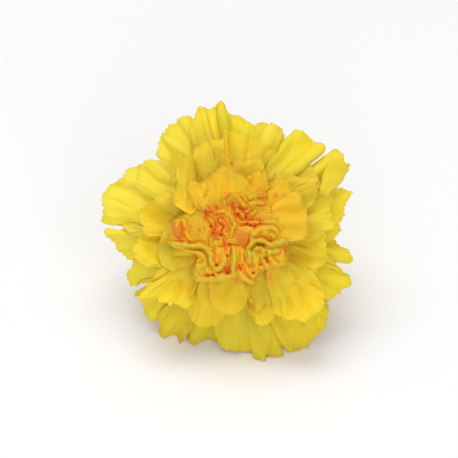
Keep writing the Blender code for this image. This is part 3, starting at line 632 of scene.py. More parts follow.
middleWhorl = {
    "foot": (5.2, 11), "lift": 1.5, "arch": -1.5, "pleat": 0.5, "claw": 2.4, "foldSpacing": 6,
    "foldStart": (0.3, 0.7), "crumple": 0.7, "meander": 0.45, "crimp": 0.25, "tooth": 0.6, "cut": 0.8,
    "curl": 1.6, "tuck": 3, "rufflePeriod": 9, "green": 0.12, "warm": 0.15, "flushFade": (8, 15),
    "edge": 0.12,
}
middlePetals = [
    sheet(264, 6, [(-12, -4), (-17, -9), (-18.6, -12.6), (-16.6, -16), (-12.6, -18.4), (-7, -19.8),
        (0, -20.4), (7, -19.8), (12.6, -18.4), (16.6, -16), (18.8, -12.6), (17, -8), (12, -4)],
        foot=(5, 11), claw=14, lift=1, arch=2.5, curl=0, tooth=0.2, ruffle=1, green=0.1, edge=0,
        crumple=1.1),
    sheet(90, 9, [(13, 2), (18.6, 6), (19.6, 10), (18.4, 14), (15, 17.4), (10, 19.6), (4, 20.6), (-3, 20.4),
        (-9, 19), (-14, 16.4), (-17.4, 12.6), (-19, 8.6), (-18.6, 4.6), (-13, 1)], foot=(5, 11), claw=14,
        lift=1, arch=2, curl=0, tooth=0.2, ruffle=1, green=0, edge=0, crumple=1.1),
    sheet(195, 9, [(-14, -0.5), (-19, 0.5), (-25.5, -1), (-28.2, -3.4), (-28.6, -5.6), (-27.6, -8.2),
        (-25.4, -10.2), (-23.5, -10.5), (-21.5, -10.4), (-19.6, -10.9), (-16, -10.5), (-12, -8.6)],
        pleat=0.2, crumple=0.8, curl=1.4, foot=(5.2, 6), lift=5,
        creases=[(-0.9, 0.7, [(-24, -4.6), (-21, -7.4), (-18.6, -8)]),
            (0.8, 1.2, [(-25.6, -6.6), (-22, -9.4)]), (-0.8, 0.6, [(-25.5, -1.8), (-20, -2.4)])]),
    sheet(345, 9.5, [(9, -10), (14, -14), (20, -14.6), (25, -12.4), (28, -9.9), (29.2, -8.4), (29.2, -6.6),
        (28.8, -4), (29.4, -1.4), (29, 1.5), (24, 3), (14, 2)], ruffle=0.6, pleat=0.2,
        creases=[(-1, 0.6, [(18.8, -7), (20.5, -7.7), (22.6, -8), (24.6, -9)]),
            (1, 1.2, [(20, -4.4), (22.6, -5.8), (25, -7.2)]), (-0.8, 0.6, [(20.4, -3.4), (23.6, -4.4)]),
            (-0.6, 0.6, [(25, -8), (26.5, -9.2), (28.3, -8.6)])]),
    sheet(6, 10.5, [(13, -2.6), (19, -3.4), (26, -2.2), (29.4, 0.2), (31.8, 1.5), (32, 2.6), (30.9, 3.8),
        (30.5, 6), (30.6, 8.4), (30.8, 10.4), (29.4, 12), (27, 13), (24, 13), (17, 10.4), (11.6, 7)],
        pleat=0.2, ruffle=0.6, curl=1.2, foot=(5.2, 6), lift=5,
        creases=[(-0.9, 1.6, [(25.4, 11.5), (30.4, 9.9)]), (0.7, 2, [(25, 6), (30, 6)])]),
    sheet(22, 6.5, [(27.7, 15.8), (27, 13.9), (26.9, 12.6), (27.5, 11.3), (28.7, 10.8), (30.2, 11),
        (31, 11.9)], foot=(0, 2), lift=1, arch=1.5, meander=0.2, cut=0, sway=0.6, ruffle=0.5, crumple=0.6,
        curl=1, tuck=1,
        feet=[(29.6, 20.6), (31.6, 22.4), (33.8, 22), (35.4, 19.8), (34.6, 16.4)]),
    sheet(159, 9.5, [(-7, 11), (-12.5, 14.9), (-16.3, 14.4), (-17.6, 13.4), (-18.8, 12.7), (-20.1, 11.6),
        (-21.4, 10.8), (-22.4, 9.8), (-22.8, 8.8), (-23, 8.1), (-24.3, 8.7), (-25.3, 7.9), (-26.1, 6.4),
        (-26.4, 5), (-26.3, 3.6), (-25.7, 2), (-26, 0.4), (-24.9, -0.9), (-22, -1.4), (-19.6, -1),
        (-13, -1)], cut=0.5, ruffle=1.2, green=0.35, greenFrom=(0.4, 0.95), foot=(5.2, 6), lift=5,
        crumple=1.1, curl=2.4),
    sheet(130, 10, [(-4, 15), (-5, 20, 2), (-8, 22.2, 2.5), (-10.4, 22.5, 2.5), (-12, 23.1, 2),
        (-13, 22.7, 1.5), (-13.9, 23, 1.5), (-14.3, 23.7, 1.5), (-15.2, 24.2, 1.5), (-16.2, 23.7, 1),
        (-17.2, 23.2), (-17.1, 21.4, -2), (-16.8, 19, -4), (-16.4, 16.6, -5), (-16, 14.4, -5),
        (-15.8, 12.6, -4)], foot=(0, 18.9), lift=-0.8, arch=-3, fold=0.5, curl=1, tuck=0.6, sway=0.6,
        crumple=0.8, cut=0.4, tooth=0.5, warm=0.25, green=0.4,
        feet=[(-6.4, 9.2), (-7.4, 8.6), (-8.6, 7.8), (-9.9, 6.7), (-11.6, 5.4, 0.4), (-12.6, 5.9),
            (-13.6, 6.4, -0.5), (-14.8, 7.2, -1.5), (-16, 7.8, -2), (-16.3, 8.8, -2.5), (-16, 10.4, -3)],
        spots=[(-10.6, 11, 2.6, 0.25)],
        creases=[(0.8, 1, [(-12.6, 19), (-13, 10)]), (-0.8, 1, [(-15, 19), (-14.8, 10)])]),
    sheet(56, 5.5, [(8, 6.6), (15.4, 15), (16.4, 20), (16.3, 22.6), (15.8, 23.9), (14.9, 23.7),
        (13.9, 24.1), (12.7, 24.5), (11.6, 24), (10.4, 24.1), (9.5, 24.4), (6, 23.6), (3, 20), (1, 10)],
        claw=8, lift=2, arch=0, warm=0.3, cut=0.4, green=0.35, curl=0.8, crumple=1.1, ruffle=1.6),
    sheet(47, 4, [(18, 4), (25, 10), (27, 14), (26.4, 17.6), (24.8, 19.4), (24.2, 21.6), (25.6, 23.8),
        (27.3, 24.9), (29, 25.6), (28.5, 26.3), (27.2, 27), (25.6, 27.7), (24, 28.6), (21.8, 30.1),
        (20.5, 30.3), (18.6, 28.9), (17.4, 28.3), (16.7, 27)], foot=(5.2, 10), claw=8, lift=4, arch=5,
        curl=0.3, tuck=0.4, meander=0.1, tooth=0.3, cut=0.2, crimp=0.1, crumple=0.8, green=0.05, warm=0.1,
        creases=[(-0.9, 0.7, [(17.6, 19.4), (21, 22.6), (25, 26.4)]),
            (0.9, 1.1, [(19, 18.6), (22.6, 21), (27.4, 24.4)]), (-0.5, 0.8, [(19.4, 28.6), (18.4, 24.4)])]),
    sheet(246, 5, [(-14, -9), (-13.6, -18), (-12.8, -22.6), (-12.2, -24.8), (-11, -27), (-8.8, -28.6),
        (-6, -28.6, -4), (-2.6, -27.4, -6), (-0.4, -21, -6), (1, -9)], claw=8, arch=2, pleat=0.2,
        crumple=0.5, cut=0, tooth=0.1, meander=0.1, ruffle=0.4, curl=-1.2, tuck=0.5, green=0),
    sheet(223, 8.5, [(-12, -3), (-17, -8), (-21.4, -12.2), (-24, -15.4), (-26.2, -17.8), (-26.8, -19.4),
        (-26.1, -20.4), (-25.3, -20), (-23.3, -19.7), (-21.9, -19.8), (-21, -21.1), (-19.5, -21),
        (-18.1, -22), (-16.9, -22.2), (-16.1, -21.7), (-14.6, -22.2), (-13.5, -23.1), (-12.6, -22.5),
        (-12.2, -21.2), (-11.6, -18.8), (-8.6, -15), (-3, -8)], claw=10, pleat=0.3, ruffle=0.9, tuck=1,
        tooth=0.35, meander=0.15, cut=0.1, green=0.05, curl=1.2,
        creases=[(-0.9, 0.7, [(-18.6, -11.2), (-21, -13.6), (-23.6, -15)]),
            (0.7, 1.2, [(-17, -13), (-22, -17.6)]),
            (-0.7, 0.8, [(-14.6, -13.6), (-15.2, -18), (-16.9, -21)]),
            (0.7, 1.2, [(-12.6, -14), (-13.6, -20)])]),
    sheet(290, 6.5, [(1, -9), (4.6, -20), (6.4, -24.6), (7.4, -25.6), (8, -27.2), (9.3, -27.9), (10.8, -28),
        (12.6, -26.7), (13.6, -25.2), (15.4, -23.6), (17, -16), (16, -7)], claw=8, pleat=0.3, crumple=0.6,
        cut=0.1, tooth=0.25, meander=0.15, tuck=0.6, ruffle=0.6, green=0.05, curl=2.4,
        # painted shade: an orange-brown spot in the dark gap beside this blade
        spots=[(6.7, -23.4, 1.3, 0.42)]),
    sheet(288, 8, [(-1, -9), (2.4, -14), (4.8, -18.6), (5.9, -21.3), (7.3, -21.5), (7.7, -22.9),
        (8.6, -23.8), (9.6, -23.5), (10.2, -22.2), (10.8, -21.3), (12, -21.7), (13, -21.2), (14.8, -19),
        (15.4, -15), (13, -7)], foot=(5.2, 12), claw=9, pleat=0.3, cut=0, tooth=0.15, meander=0.1, tuck=0.6,
        ruffle=0.5, green=0, curl=0.4,
        # painted shade: orange-brown spots under the heart's lip
        spots=[(11.6, -13.4, 2, 0.5), (4.4, -16.6, 2, 0.35)],
        creases=[(-0.7, 0.8, [(9.6, -15), (10.2, -20.6)]), (0.7, 1, [(8, -16), (8.8, -22)])]),
    sheet(309, 9.5, [(13.3, -24.6), (15.1, -25.1), (16.4, -25.7), (17.3, -26.2), (19.2, -25.8),
        (20.4, -26.3), (22.9, -26.7), (24.7, -25.7), (26.9, -24.1), (28.4, -22), (28.8, -19), (26.8, -14.6),
        (22, -9)], foot=(5.2, 12.5), curl=1.8, cut=0.2, tooth=0.5, pleat=0.3, tuck=1.5, green=0.03,
        warm=0.28,
        feet=[(11, -10), (12, -8.8), (12.8, -7.4), (13.6, -5.8)],
        # painted shade: an orange-brown spot under the heart's lip
        spots=[(12.2, -13.4, 1.5, 0.55)],
        creases=[(-1.3, 0.7, [(19.8, -12), (21.6, -16.7), (22.9, -20.7), (23.5, -24)]),
            (0.9, 1, [(18.2, -12.4), (19.6, -18), (20.4, -24)]),
            (-0.9, 0.6, [(16, -17.3), (17.3, -16.4), (20.1, -15.3)]),
            (0.9, 0.9, [(16.6, -19), (16.8, -24)]), (-0.9, 0.6, [(17.8, -19.6), (18.1, -25)]),
            (-0.7, 0.7, [(14.6, -20), (15.2, -24.6)]), (0.6, 1.2, [(25, -18), (25.6, -24)]),
            (-0.7, 0.5, [(24.7, -15.3), (27.2, -17.3)])]),
    sheet(249, 8, [(-6.4, -10), (-8.8, -14.4), (-9.4, -18.6), (-8.7, -20.6), (-8, -22), (-6.8, -22.3),
        (-5.9, -21.6), (-4.6, -19), (-1, -9)], foot=(5.2, 12), claw=6, pleat=0.2, crumple=0.5, cut=0,
        tooth=0.1, meander=0.1, ruffle=0.3, curl=0.6, tuck=0.8, green=0,
        # painted shade: an orange-brown spot under the heart's lip
        spots=[(-6.4, -16.2, 2.4, 0.3)]),
    sheet(270, 9.6, [(-4, -8), (-5.4, -14), (-5.9, -18.5), (-5.6, -20.8), (-4.6, -22.6), (-3, -24),
        (-1.2, -24.7), (0.5, -24.9), (2.2, -24.5), (3.6, -23.4), (4.8, -21.9), (5.6, -20), (6.2, -15),
        (5, -8)], foot=(5.2, 12), claw=8, cut=0, tooth=0.12, meander=0.1, ruffle=0.6, crumple=0.5,
        waves=0.3, curl=0.4, pleat=0.3, tuck=1, green=0.05, warm=0.25,
        # painted shade: orange-brown spots under the heart's lip
        spots=[(2.6, -14.8, 1.6, 0.6), (-3.8, -15.4, 2, 0.42)]),
    sheet(88, 11, [(9, 10), (10.2, 16), (9.9, 21), (9.7, 24), (9.7, 26.6), (9, 27.9), (7.3, 27.8),
        (6, 28.6), (4.5, 29.3), (2.5, 29.5), (1, 30), (-0.4, 30.3), (-1.2, 31.3), (-1.5, 29.5), (-2, 27.8),
        (-3.4, 27.5), (-4.8, 27.8), (-6, 27), (-5.6, 20), (-4.4, 10)], foot=(5.2, 10), claw=8, lift=5,
        arch=1, cut=0.2, tuck=0.6, meander=0.2, warm=0.25, green=0.1,
        creases=[(-0.8, 1, [(-0.6, 29), (-0.4, 24)]), (1, 2.6, [(3.2, 23.4), (3.4, 24.6)]),
            (-0.6, 0.8, [(6.4, 27.4), (5.8, 24)])]),
]

hoodWhorl = {
    "foot": (6.8, 15.6), "lift": 2, "arch": -0.5, "pleat": 0.7, "claw": 9, "fold": 0.5, "column": 0.25,
    "foldSpacing": 5, "foldDepth": 1.3, "foldStart": (0.1, 0.6), "crumple": 1.1, "waves": 0.5, "sway": 1,
    "meander": 0.3, "crimp": 0.2, "tooth": 0.25, "cut": 0.3, "curl": 0.8, "tuck": 2.5, "rufflePeriod": 7,
    "warm": 0.3, "warmFade": 0.3, "flush": 0.9, "flushFade": (6, 11), "edge": 0.25, "green": 0.3,
}
hoodPetals = [
    sheet(206, 11, [(-9, 3), (-15.5, 2.4), (-19.4, 0, -3), (-21, -3.4, -4), (-21.2, -7, -4),
        (-20.4, -9.8, -4), (-18.8, -11.2, -2), (-17, -11.6), (-14.4, -11.4), (-11.6, -11.4), (-7, -11)],
        foot=(7, 14.5), lift=1, edge=0.1, tooth=0.1, pleat=0.4, crumple=0.8, curl=0.3, arch=1, claw=3.4,
        creases=[(-1.2, 0.5, [(-17.3, -7.3), (-13.6, -7.4), (-9.8, -7.3)]),
            (0.9, 0.9, [(-17, -5.6), (-12, -5.4)]), (-0.8, 0.8, [(-17, -8.4), (-16, -10.4)])]),
    sheet(38, 11.5, [(12, 1), (19, 3, -5), (23.6, 6, -6), (26, 9.4, -6), (26.4, 12.4, -5), (26.4, 14.8, -4),
        (26.8, 16.3, -2), (25.6, 16.5, -1), (24, 16.6), (22.5, 16.4), (20.8, 16.6), (19.4, 17), (18, 17.2),
        (16.6, 17.5), (15.5, 17.4), (14.4, 17.6), (13, 15.6), (8, 12), (4, 8)], foot=(5.2, 11), arch=-1,
        pleat=0.4),
    sheet(86, 12, [(10, 8), (11.4, 14, -2), (10.6, 18.6, -3), (9.2, 21.4, -2), (8.2, 22.6, -1), (6.6, 21.7),
        (5, 21.3), (3.5, 21.2), (2, 21.4), (0.7, 21.7), (-1, 22.9), (-2.5, 23.9), (-3.9, 24.7),
        (-4.9, 25.6), (-5.2, 27, -0.5), (-6, 27.3, -1), (-7.1, 27.4, -1.5), (-8.6, 26.8, -2),
        (-9.6, 25.6, -3), (-10.4, 24.6, -3.5), (-10.5, 22.5, -4), (-10.3, 20.4, -4), (-9.8, 18, -3.5),
        (-8.8, 15, -2), (-7, 8)], foot=(5.2, 12), claw=10, warm=0.4, green=0.1, tuck=0.8, ruffle=0.5,
        spots=[(0.6, 20.8, 0.35, 1.5), (1.1, 20.4, 0.35, 1.6)],
        creases=[(1.2, 1, [(-9.2, 25), (-6.8, 18)]), (-0.4, 1.6, [(-6, 26.6), (-4.6, 22)])]),
    sheet(62, 14, [(12, 6), (13, 12), (11.4, 15.6), (9.8, 17.6), (8.5, 18.2), (6.9, 18), (5.7, 16.9),
        (3, 14.6), (1, 9)], foot=(5.2, 14), warm=0.65, tuck=1.5, curl=1, green=0),
    sheet(22, 16.4, [(14, -3), (19.4, -2.6), (22.4, -1.8), (23.5, 0.4), (23.8, 2), (23.6, 4), (23.2, 6),
        (22.6, 8), (21.8, 9), (21.7, 10.6), (21, 11.6), (19.9, 12.2), (19, 12.6), (18.6, 13.7), (18, 14.8),
        (16.9, 15.4), (15.6, 15.9), (14.2, 15.7), (12.8, 15.4), (11.4, 13.4), (9, 10.4)], lift=3.2, arch=1,
        claw=11, warm=0.85, pleat=0.8, curl=1, green=0.35, edge=0.4,
        spots=[(10, 10.5, 1.9, 0.9), (13.9, 10.9, 0.7, 1.55), (16.5, 10.9, 0.5, 1.4),
            (11.3, 14.4, 0.5, 1.4), (12.2, 14.2, 0.4, 1.4), (22.4, 8.6, 0.45, 1.35), (16, 1.5, 1.6, 0.4)],
        creases=[(-0.6, 0.6, [(17.6, 14.4), (19, 12.2), (21.4, 11)]), (0.6, 1.2, [(14, 8), (21, 8)]),
            (-0.6, 1, [(13, 6), (21.4, 5.6)]), (0.6, 1.2, [(14, 3), (22, 2)]),
            (-0.6, 0.8, [(14.4, 12), (17, 14.4)])]),
    sheet(105, 16.8, [(8.4, 8), (7.8, 12), (7, 13.8), (6.3, 14.4), (5.4, 15.6), (4.1, 16.9), (2.6, 17.8),
        (0.9, 18.5), (-0.2, 19.4), (-1.4, 19.7), (-3, 19.2), (-4.2, 17.8), (-5.4, 16.8), (-6.4, 15.9),
        (-7.4, 15), (-8.1, 14.7), (-8.8, 14.6), (-9.7, 14.9), (-10.8, 15), (-11.8, 14.4), (-12.2, 13),
        (-11.8, 11.4), (-10.4, 9.4), (-8, 7.4)], foot=(6.2, 15.4), lift=2.8, arch=0, claw=12, warm=0.8,
        curl=1.4, ruffle=0.6, green=0.5, tuck=0.6, edge=0.45, flushFade=(7, 13),
        # the first spot is painted shade under the rim above it; the others are red marks
        spots=[(-10.3, 13.3, 1.4, 0.45), (2.6, 17.5, 0.4, 1.3), (0, 18.9, 0.4, 1.2), (-6.4, 12.4, 0.4, 1.5),
            (-6.8, 11.2, 0.45, 1.6), (-7.3, 10.2, 0.4, 1.4)],
        creases=[(0.5, 0.9, [(-3.4, 10), (-3, 15)]), (-0.5, 0.9, [(-1.4, 11), (-0.8, 17)]),
            (0.5, 1, [(1.6, 11), (1.8, 15)]), (-0.5, 0.8, [(3.6, 11), (4.6, 15.6)]),
            (-1.2, 0.6, [(-5.6, 16), (-6.1, 13.4), (-7.6, 9.8)]), (0.6, 0.9, [(-9, 14), (-9.4, 10.4)])]),
]


# Crumpled petals of the heart, as a height over its plan. Each ridge is the rim of a petal that stands on
# edge: how far it rises, how green its lip is and its path in plan.
def ridge(rise, green, path, width=0.55):
    return {"rise": rise, "green": green, "path": path, "width": width}


heartRidges = [
    ridge(1.5, 0.8, [(-18.9, -3.6), (-16.7, -3.9), (-13.9, -3.9), (-10.4, -4), (-7.7, -4.4), (-6.1, -5.6),
        (-5.4, -7.2), (-5.3, -9.1), (-4.5, -10.6), (-3.1, -10.9), (-1.8, -9.9), (-1.1, -8)], width=0.58),
    ridge(0.9, 0.6, [(-14, -5.4), (-10, -5.8), (-8.2, -6.6), (-7.4, -8), (-7.2, -9.6), (-7, -11)]),
    ridge(1.3, 0.8, [(0.6, -13.1), (-0.5, -14), (-2.1, -14.3), (-5.3, -14.3), (-8.5, -14.2), (-9.8, -13.8),
        (-10.3, -12.7), (-10.4, -11.3), (-9, -10.7), (-7.7, -9.9)], width=0.6),
    ridge(0.9, 0.5, [(-8.5, -11.7), (-6.6, -11.5), (-4.7, -12.1), (-3.1, -13.1), (-1, -12.9)]),
    ridge(1.6, 0.9, [(1.7, -5), (1.9, -6.8), (1.5, -9.4), (1.2, -11.5), (1.5, -13.7)], width=0.62),
    ridge(1.1, 0.2, [(3, -4.8), (3.8, -6.7), (4.6, -8.8), (6, -11.5), (7.2, -13.2), (7.9, -12.1),
        (8.4, -9.6), (8.7, -7)]),
    ridge(0.9, 0.1, [(4.4, -5.4), (5, -8), (6.3, -10.3), (7.2, -11.6)], width=0.4),
    ridge(1.2, 0.4, [(2.8, -11.8), (4.4, -13.6), (6, -15), (7.6, -15.3), (8.9, -14.1), (9.9, -12.3),
        (9.6, -10.7)], width=0.5),
    ridge(1.7, 0.9, [(6, -9.2), (5.9, -5.8), (6.4, -4), (7.6, -2.8), (9.2, -2.5), (10.5, -3), (11.6, -3.9),
        (12.9, -4.2), (14.3, -3.4), (15.6, -2.7), (17, -2.8), (18, -4), (18.3, -6.2)], width=0.58),
    ridge(1.3, 0.8, [(7.4, -9), (7.3, -6.4), (8, -5.2), (9.4, -4.8), (10.6, -5.2), (12.3, -5.8),
        (14.3, -5.4)], width=0.6),
    ridge(1.2, 0.5, [(10.1, -5.8), (10.2, -7.8), (11, -9.6), (12.6, -11), (14.4, -11.5), (17, -11.4),
        (19.5, -11)], width=0.5),
    ridge(1.2, 0.5, [(11.8, -6.2), (12.2, -7.6), (13.2, -8.9), (14.6, -9.8), (16.6, -10), (19.4, -9.6)],
        width=0.5),
    ridge(0.8, 0.3, [(6.5, -3.2), (7.4, -1.1), (8.9, 0.5), (10.5, 1.4), (12.1, 1.6), (13.5, 1),
        (14.3, 0.1)]),
    ridge(0.5, 0.1, [(10.2, 2.8), (12.4, 3.1), (14.6, 2.4), (16.4, 0.9), (17, -0.9)]),
    ridge(0.4, 0, [(9.6, 4.4), (12.4, 4.7), (15.6, 4), (17.8, 2), (18.4, -0.4)], width=0.8),
    ridge(0.9, 0.35, [(0.1, 7), (0.2, 5.2), (1.1, 3.7), (1.6, 2.2), (1, 0.6), (0.6, -1)], width=0.38),
    ridge(0.8, 0, [(-1.3, 8.4), (-1, 10.5), (0.5, 11.8), (2.3, 12), (4, 11.2), (5, 9.4)], width=0.45),
    ridge(0.8, 0.1, [(-0.2, 9), (0.8, 10.4), (2.2, 10.4), (3.4, 9.2), (4.6, 7.9)], width=0.45),
    ridge(0.9, 0, [(-5.5, 3.9), (-4.6, 2.7), (-4.2, 1.3), (-5, -0.2), (-3.7, -0.6), (-2.6, -1.4)],
        width=0.4),
    ridge(1, 0.2, [(-5.3, -5), (-5.3, -2.6), (-4.4, -1.4), (-3, -1.5), (-2.5, -3.4)], width=0.45),
    ridge(0.8, 0, [(-2.7, 3.4), (-1.7, 2.9), (-1, 1.6), (-1.5, 0.2), (-0.6, -1)], width=0.4),
    ridge(0.9, 0, [(2.6, 6.4), (3.8, 5.1), (4.9, 4.3), (6.4, 5), (7.6, 6.2)], width=0.45),
    ridge(0.8, 0, [(3, 3.4), (4.6, 3), (6.2, 3), (8.2, 3)], width=0.4),
    ridge(0.8, 0, [(-7.6, 8.6), (-7.2, 6.8), (-6.2, 5.6), (-6.3, 3.8)], width=0.4),
    ridge(0.8, 0, [(-5.4, 8), (-4.4, 6.6), (-3.4, 5.9), (-1.6, 6.3), (-0.6, 5.2)], width=0.45),
    ridge(0.9, 0.1, [(6.4, 8.2), (8.4, 8.8), (10.4, 8.7), (12.2, 8.2)], width=0.4),
    ridge(0.9, 0.1, [(0, -5), (-0.5, -6.8), (-1.9, -7.4), (-2.2, -8.8)], width=0.45),
    ridge(0.8, 0, [(-15.6, 3.2), (-15.2, 1), (-14.4, -1.2), (-12.8, -3)], width=0.5),
    ridge(0.8, 0, [(-13.6, 3), (-13.2, 1), (-12.6, -0.8), (-11, -2.6)], width=0.45),
]

# Where the heart is smooth and raised, crumpled, flushed or open: place in plan, radius and, but for the
# holes, how much. The holes are dips that are also painted dark red as shade. Its edge is written as
# azimuth and distance from the axis.
heartField = {
    "cells": 213, "height": 18.4, "skirt": 5.5, "skirtFrom": 0.9, "thick": 0.3, "holeDepth": 1.8,
    "bend": 0.5, "bendSize": 1.7, "ridgeStep": 0.8, "trough": 0.7, "troughAway": 2.1, "lip": 1.15,
    "farthest": 9.0,
    "smallFolds": 1.3, "foldSize": 1.7, "turn": 1.6, "turnSize": 2.3, "slowFolds": 1.2, "slowSize": 4.2,
    "edge": [(4, 17.7), (10, 16), (16, 16.6), (23, 14.8), (31, 15.6), (38, 14.4), (46, 17.4), (53, 16.4),
        (62, 13), (90, 12.4), (120, 11.5), (140, 12.5), (155, 14.4), (168, 17), (180, 18.4), (190, 18.6),
        (195, 17.6), (203, 15), (211, 12.8), (220, 12.4), (226, 15), (231, 17), (236, 17.8), (243, 16.8),
        (252, 15.6), (262, 15), (270, 14.5), (275, 13.7), (281, 13.8), (288, 15.6), (294, 17.3),
        (301, 16.4), (311, 15.4), (322, 17.6), (331, 19.8), (340, 19), (346, 17.6), (352, 18.4), (358, 17)],
    "raised": [(4.6, -1.4, 2.3, 0.9), (7.2, 0.2, 1.6, 0.8), (-9.6, 0.8, 3.6, 0.9), (-15, 0.4, 2.4, 0.7),
        (10.8, 0.1, 1.1, 0.9), (15.6, -6.4, 2.6, 0.7), (-3.9, -3.2, 1, 0.8), (1.6, 10.6, 2.6, 0.5),
        (12, 5, 2.4, 0.3), (6.4, -6.6, 0.9, 0.4)],
    "crumpled": [(-5.4, 7, 2.6, 1), (-3.6, 1.6, 2.2, 0.9), (4.6, 4.8, 2.8, 0.9), (8.4, 2.4, 1.6, 0.7),
        (11.6, 11, 2.8, 1), (0, -3.6, 1.4, 0.7), (6, -11.4, 2.4, 0.7), (-5, -12.6, 2.4, 0.7),
        (0, -11, 1.6, 0.6), (0.8, 1, 1.6, 0.6)],
    "flushed": [(-5.4, 6.4, 3, 1), (-2.6, 1.8, 3.4, 1), (4.6, 4.4, 3.2, 0.85), (4.2, -1.2, 2.6, 0.9),
        (8, 2.4, 2.2, 0.7), (-0.4, -4, 1.9, 0.85), (-3.2, -7.6, 1.8, 0.4), (6, -10.8, 2.6, 0.5),
        (-1, -11.6, 2.2, 0.4), (10.6, -8.4, 1.4, 0.6), (-9.6, 0.8, 4.2, 0.42), (-14.8, 0.2, 2.5, 0.75),
        (11, 10.6, 2.6, 0.9), (11.8, -12.4, 2.2, 0.7), (1.4, 8.2, 1.8, 0.5), (-6, -13, 2.4, 0.35),
        (15.6, -3.6, 1.6, 0.3), (1.4, 11, 3.4, 0.34), (11, 5.4, 4.6, 0.34), (15, -6, 2.6, 0.3)],
    "holes": [(1, 8.2, 0.8), (1.2, 7.3, 0.6), (3.2, 7, 0.4), (2.8, 5.4, 0.45), (5, 4.4, 0.4),
        (5.3, 2.4, 0.5), (6.4, 2, 0.5), (7.6, 1.7, 0.6), (12.1, -2.2, 0.8), (10.1, -3.9, 0.5),
        (8.9, -3.9, 0.5), (10.9, -7.8, 0.45), (11.3, -8.9, 0.4), (-0.6, -7.1, 0.45), (-3.8, -10.1, 0.55),
        (-0.7, -12.2, 0.6), (-4.7, -12.6, 0.4), (-10, -7.4, 0.45), (7.2, -12.3, 0.4), (-2.5, -1.2, 0.35),
        (3.3, -11.4, 0.4), (9.2, -9.6, 0.35), (-5.4, 1.6, 0.4), (0.2, -3.6, 0.35)],
    "flames": [[(2, 0.5), (3.6, 0.1), (5, -0.5), (6.3, -1.4)],
        [(2, -0.4), (3.8, -0.7), (5.2, -1.2), (6.4, -2.2)],
        [(2.1, -1.2), (3.6, -1.5), (4.9, -1.9), (6.1, -2.9)],
        [(2.3, -2), (3.8, -2.4), (4.9, -2.7), (5.7, -3.5)], [(2.8, -2.9), (4.2, -3.2), (5.2, -3.8)],
        [(-7.7, 9.4), (-7.4, 8.3)], [(-7.3, 7.5), (-7, 6.2)], [(-6.4, 7.8), (-5.9, 5.6)],
        [(-4.9, 6.4), (-3.6, 6.3)], [(-2.2, 3), (-1.2, 1.6)], [(-1.6, -4.4), (-0.8, -5.6)],
        [(4.2, -6.4), (5.2, -8.6)], [(5.6, -9), (6.3, -10.8)], [(8.4, 3.4), (10.4, 3.5)],
        [(9.3, 2.6), (12.2, 2.2)], [(-4.6, 0.9), (-5.2, -0.3)],
        [(-14.4, 3), (-13.9, 0.8), (-13.1, -1.6), (-11.8, -2.9), (-10, -3.3)], [(-11.6, 1.8), (-11.5, 0.3)],
        [(-16, 2.7), (-16.5, 0.8), (-16.3, -1.3)], [(-15.3, 1.4), (-14.9, -0.6)]],
}
heartPaint = {
    # The trough and fold-valley amounts paint shade: deeper orange in the troughs beside the ridges and in
    # the valleys of the folds.
    "warm": 0.95, "flush": 0.12, "troughShade": 0.2, "foldValleyShade": 0.25, "mostFlush": 0.95,
    "lipKeeps": 0.8,            # how far a green lip keeps the flush away
    # the hole amount paints shade: dark red in the heart's holes
    "holeShadeRed": 0.75, "lineFlame": 0.6,
}


def softSpots(x, y, spots, sharp=2):  # the strongest of some round spots at each point
    return np.max([spot[3] * nearSpot(x, y, spot, sharp) for spot in spots], axis=0)


def shiftedPlan(x, y, amount, size, seed):
    return (x + amount * (cloud(x, y, size, seed) - 0.5), y + amount * (cloud(x, y, size, seed + 1) - 0.5))


def heartPlan(field):  # points inside the heart's edge, and how far out each lies
    side = np.linspace(-1, 1, field["cells"])
    x, y = np.meshgrid(side, side, indexing="ij")
    far = np.maximum(np.hypot(x, y), 1e-6)
    share = np.maximum(np.abs(x), np.abs(y))
    azimuths, reaches = np.array(field["edge"]).T
    border = np.interp(np.degrees(np.arctan2(y, x)) % 360, azimuths, reaches, period=360)
    return x * share / far * border, y * share / far * border, share


def heartLips(x, y, field):  # ridges, the troughs beside them, green lips and the way to the nearest one
    x, y = shiftedPlan(x, y, field["bend"], field["bendSize"], 43)
    rise, trough, green = np.zeros_like(x), np.zeros_like(x), np.zeros_like(x)
    nearest = np.full_like(x, field["farthest"])
    for one in heartRidges:
        near = lineDistance(x, y, smoothCurve(one["path"], field["ridgeStep"])[0])
        width = one["width"]
        nearest = np.minimum(nearest, near)
        rise = np.maximum(rise, one["rise"] * np.exp(-(near / width) ** 2))
        beside = (near - field["troughAway"] * width) / width
        trough = np.maximum(trough, one["rise"] * np.exp(-beside ** 2))
        green = np.maximum(green, one["green"] * np.exp(-(near / width / field["lip"]) ** 2))
    return rise, trough, green, nearest


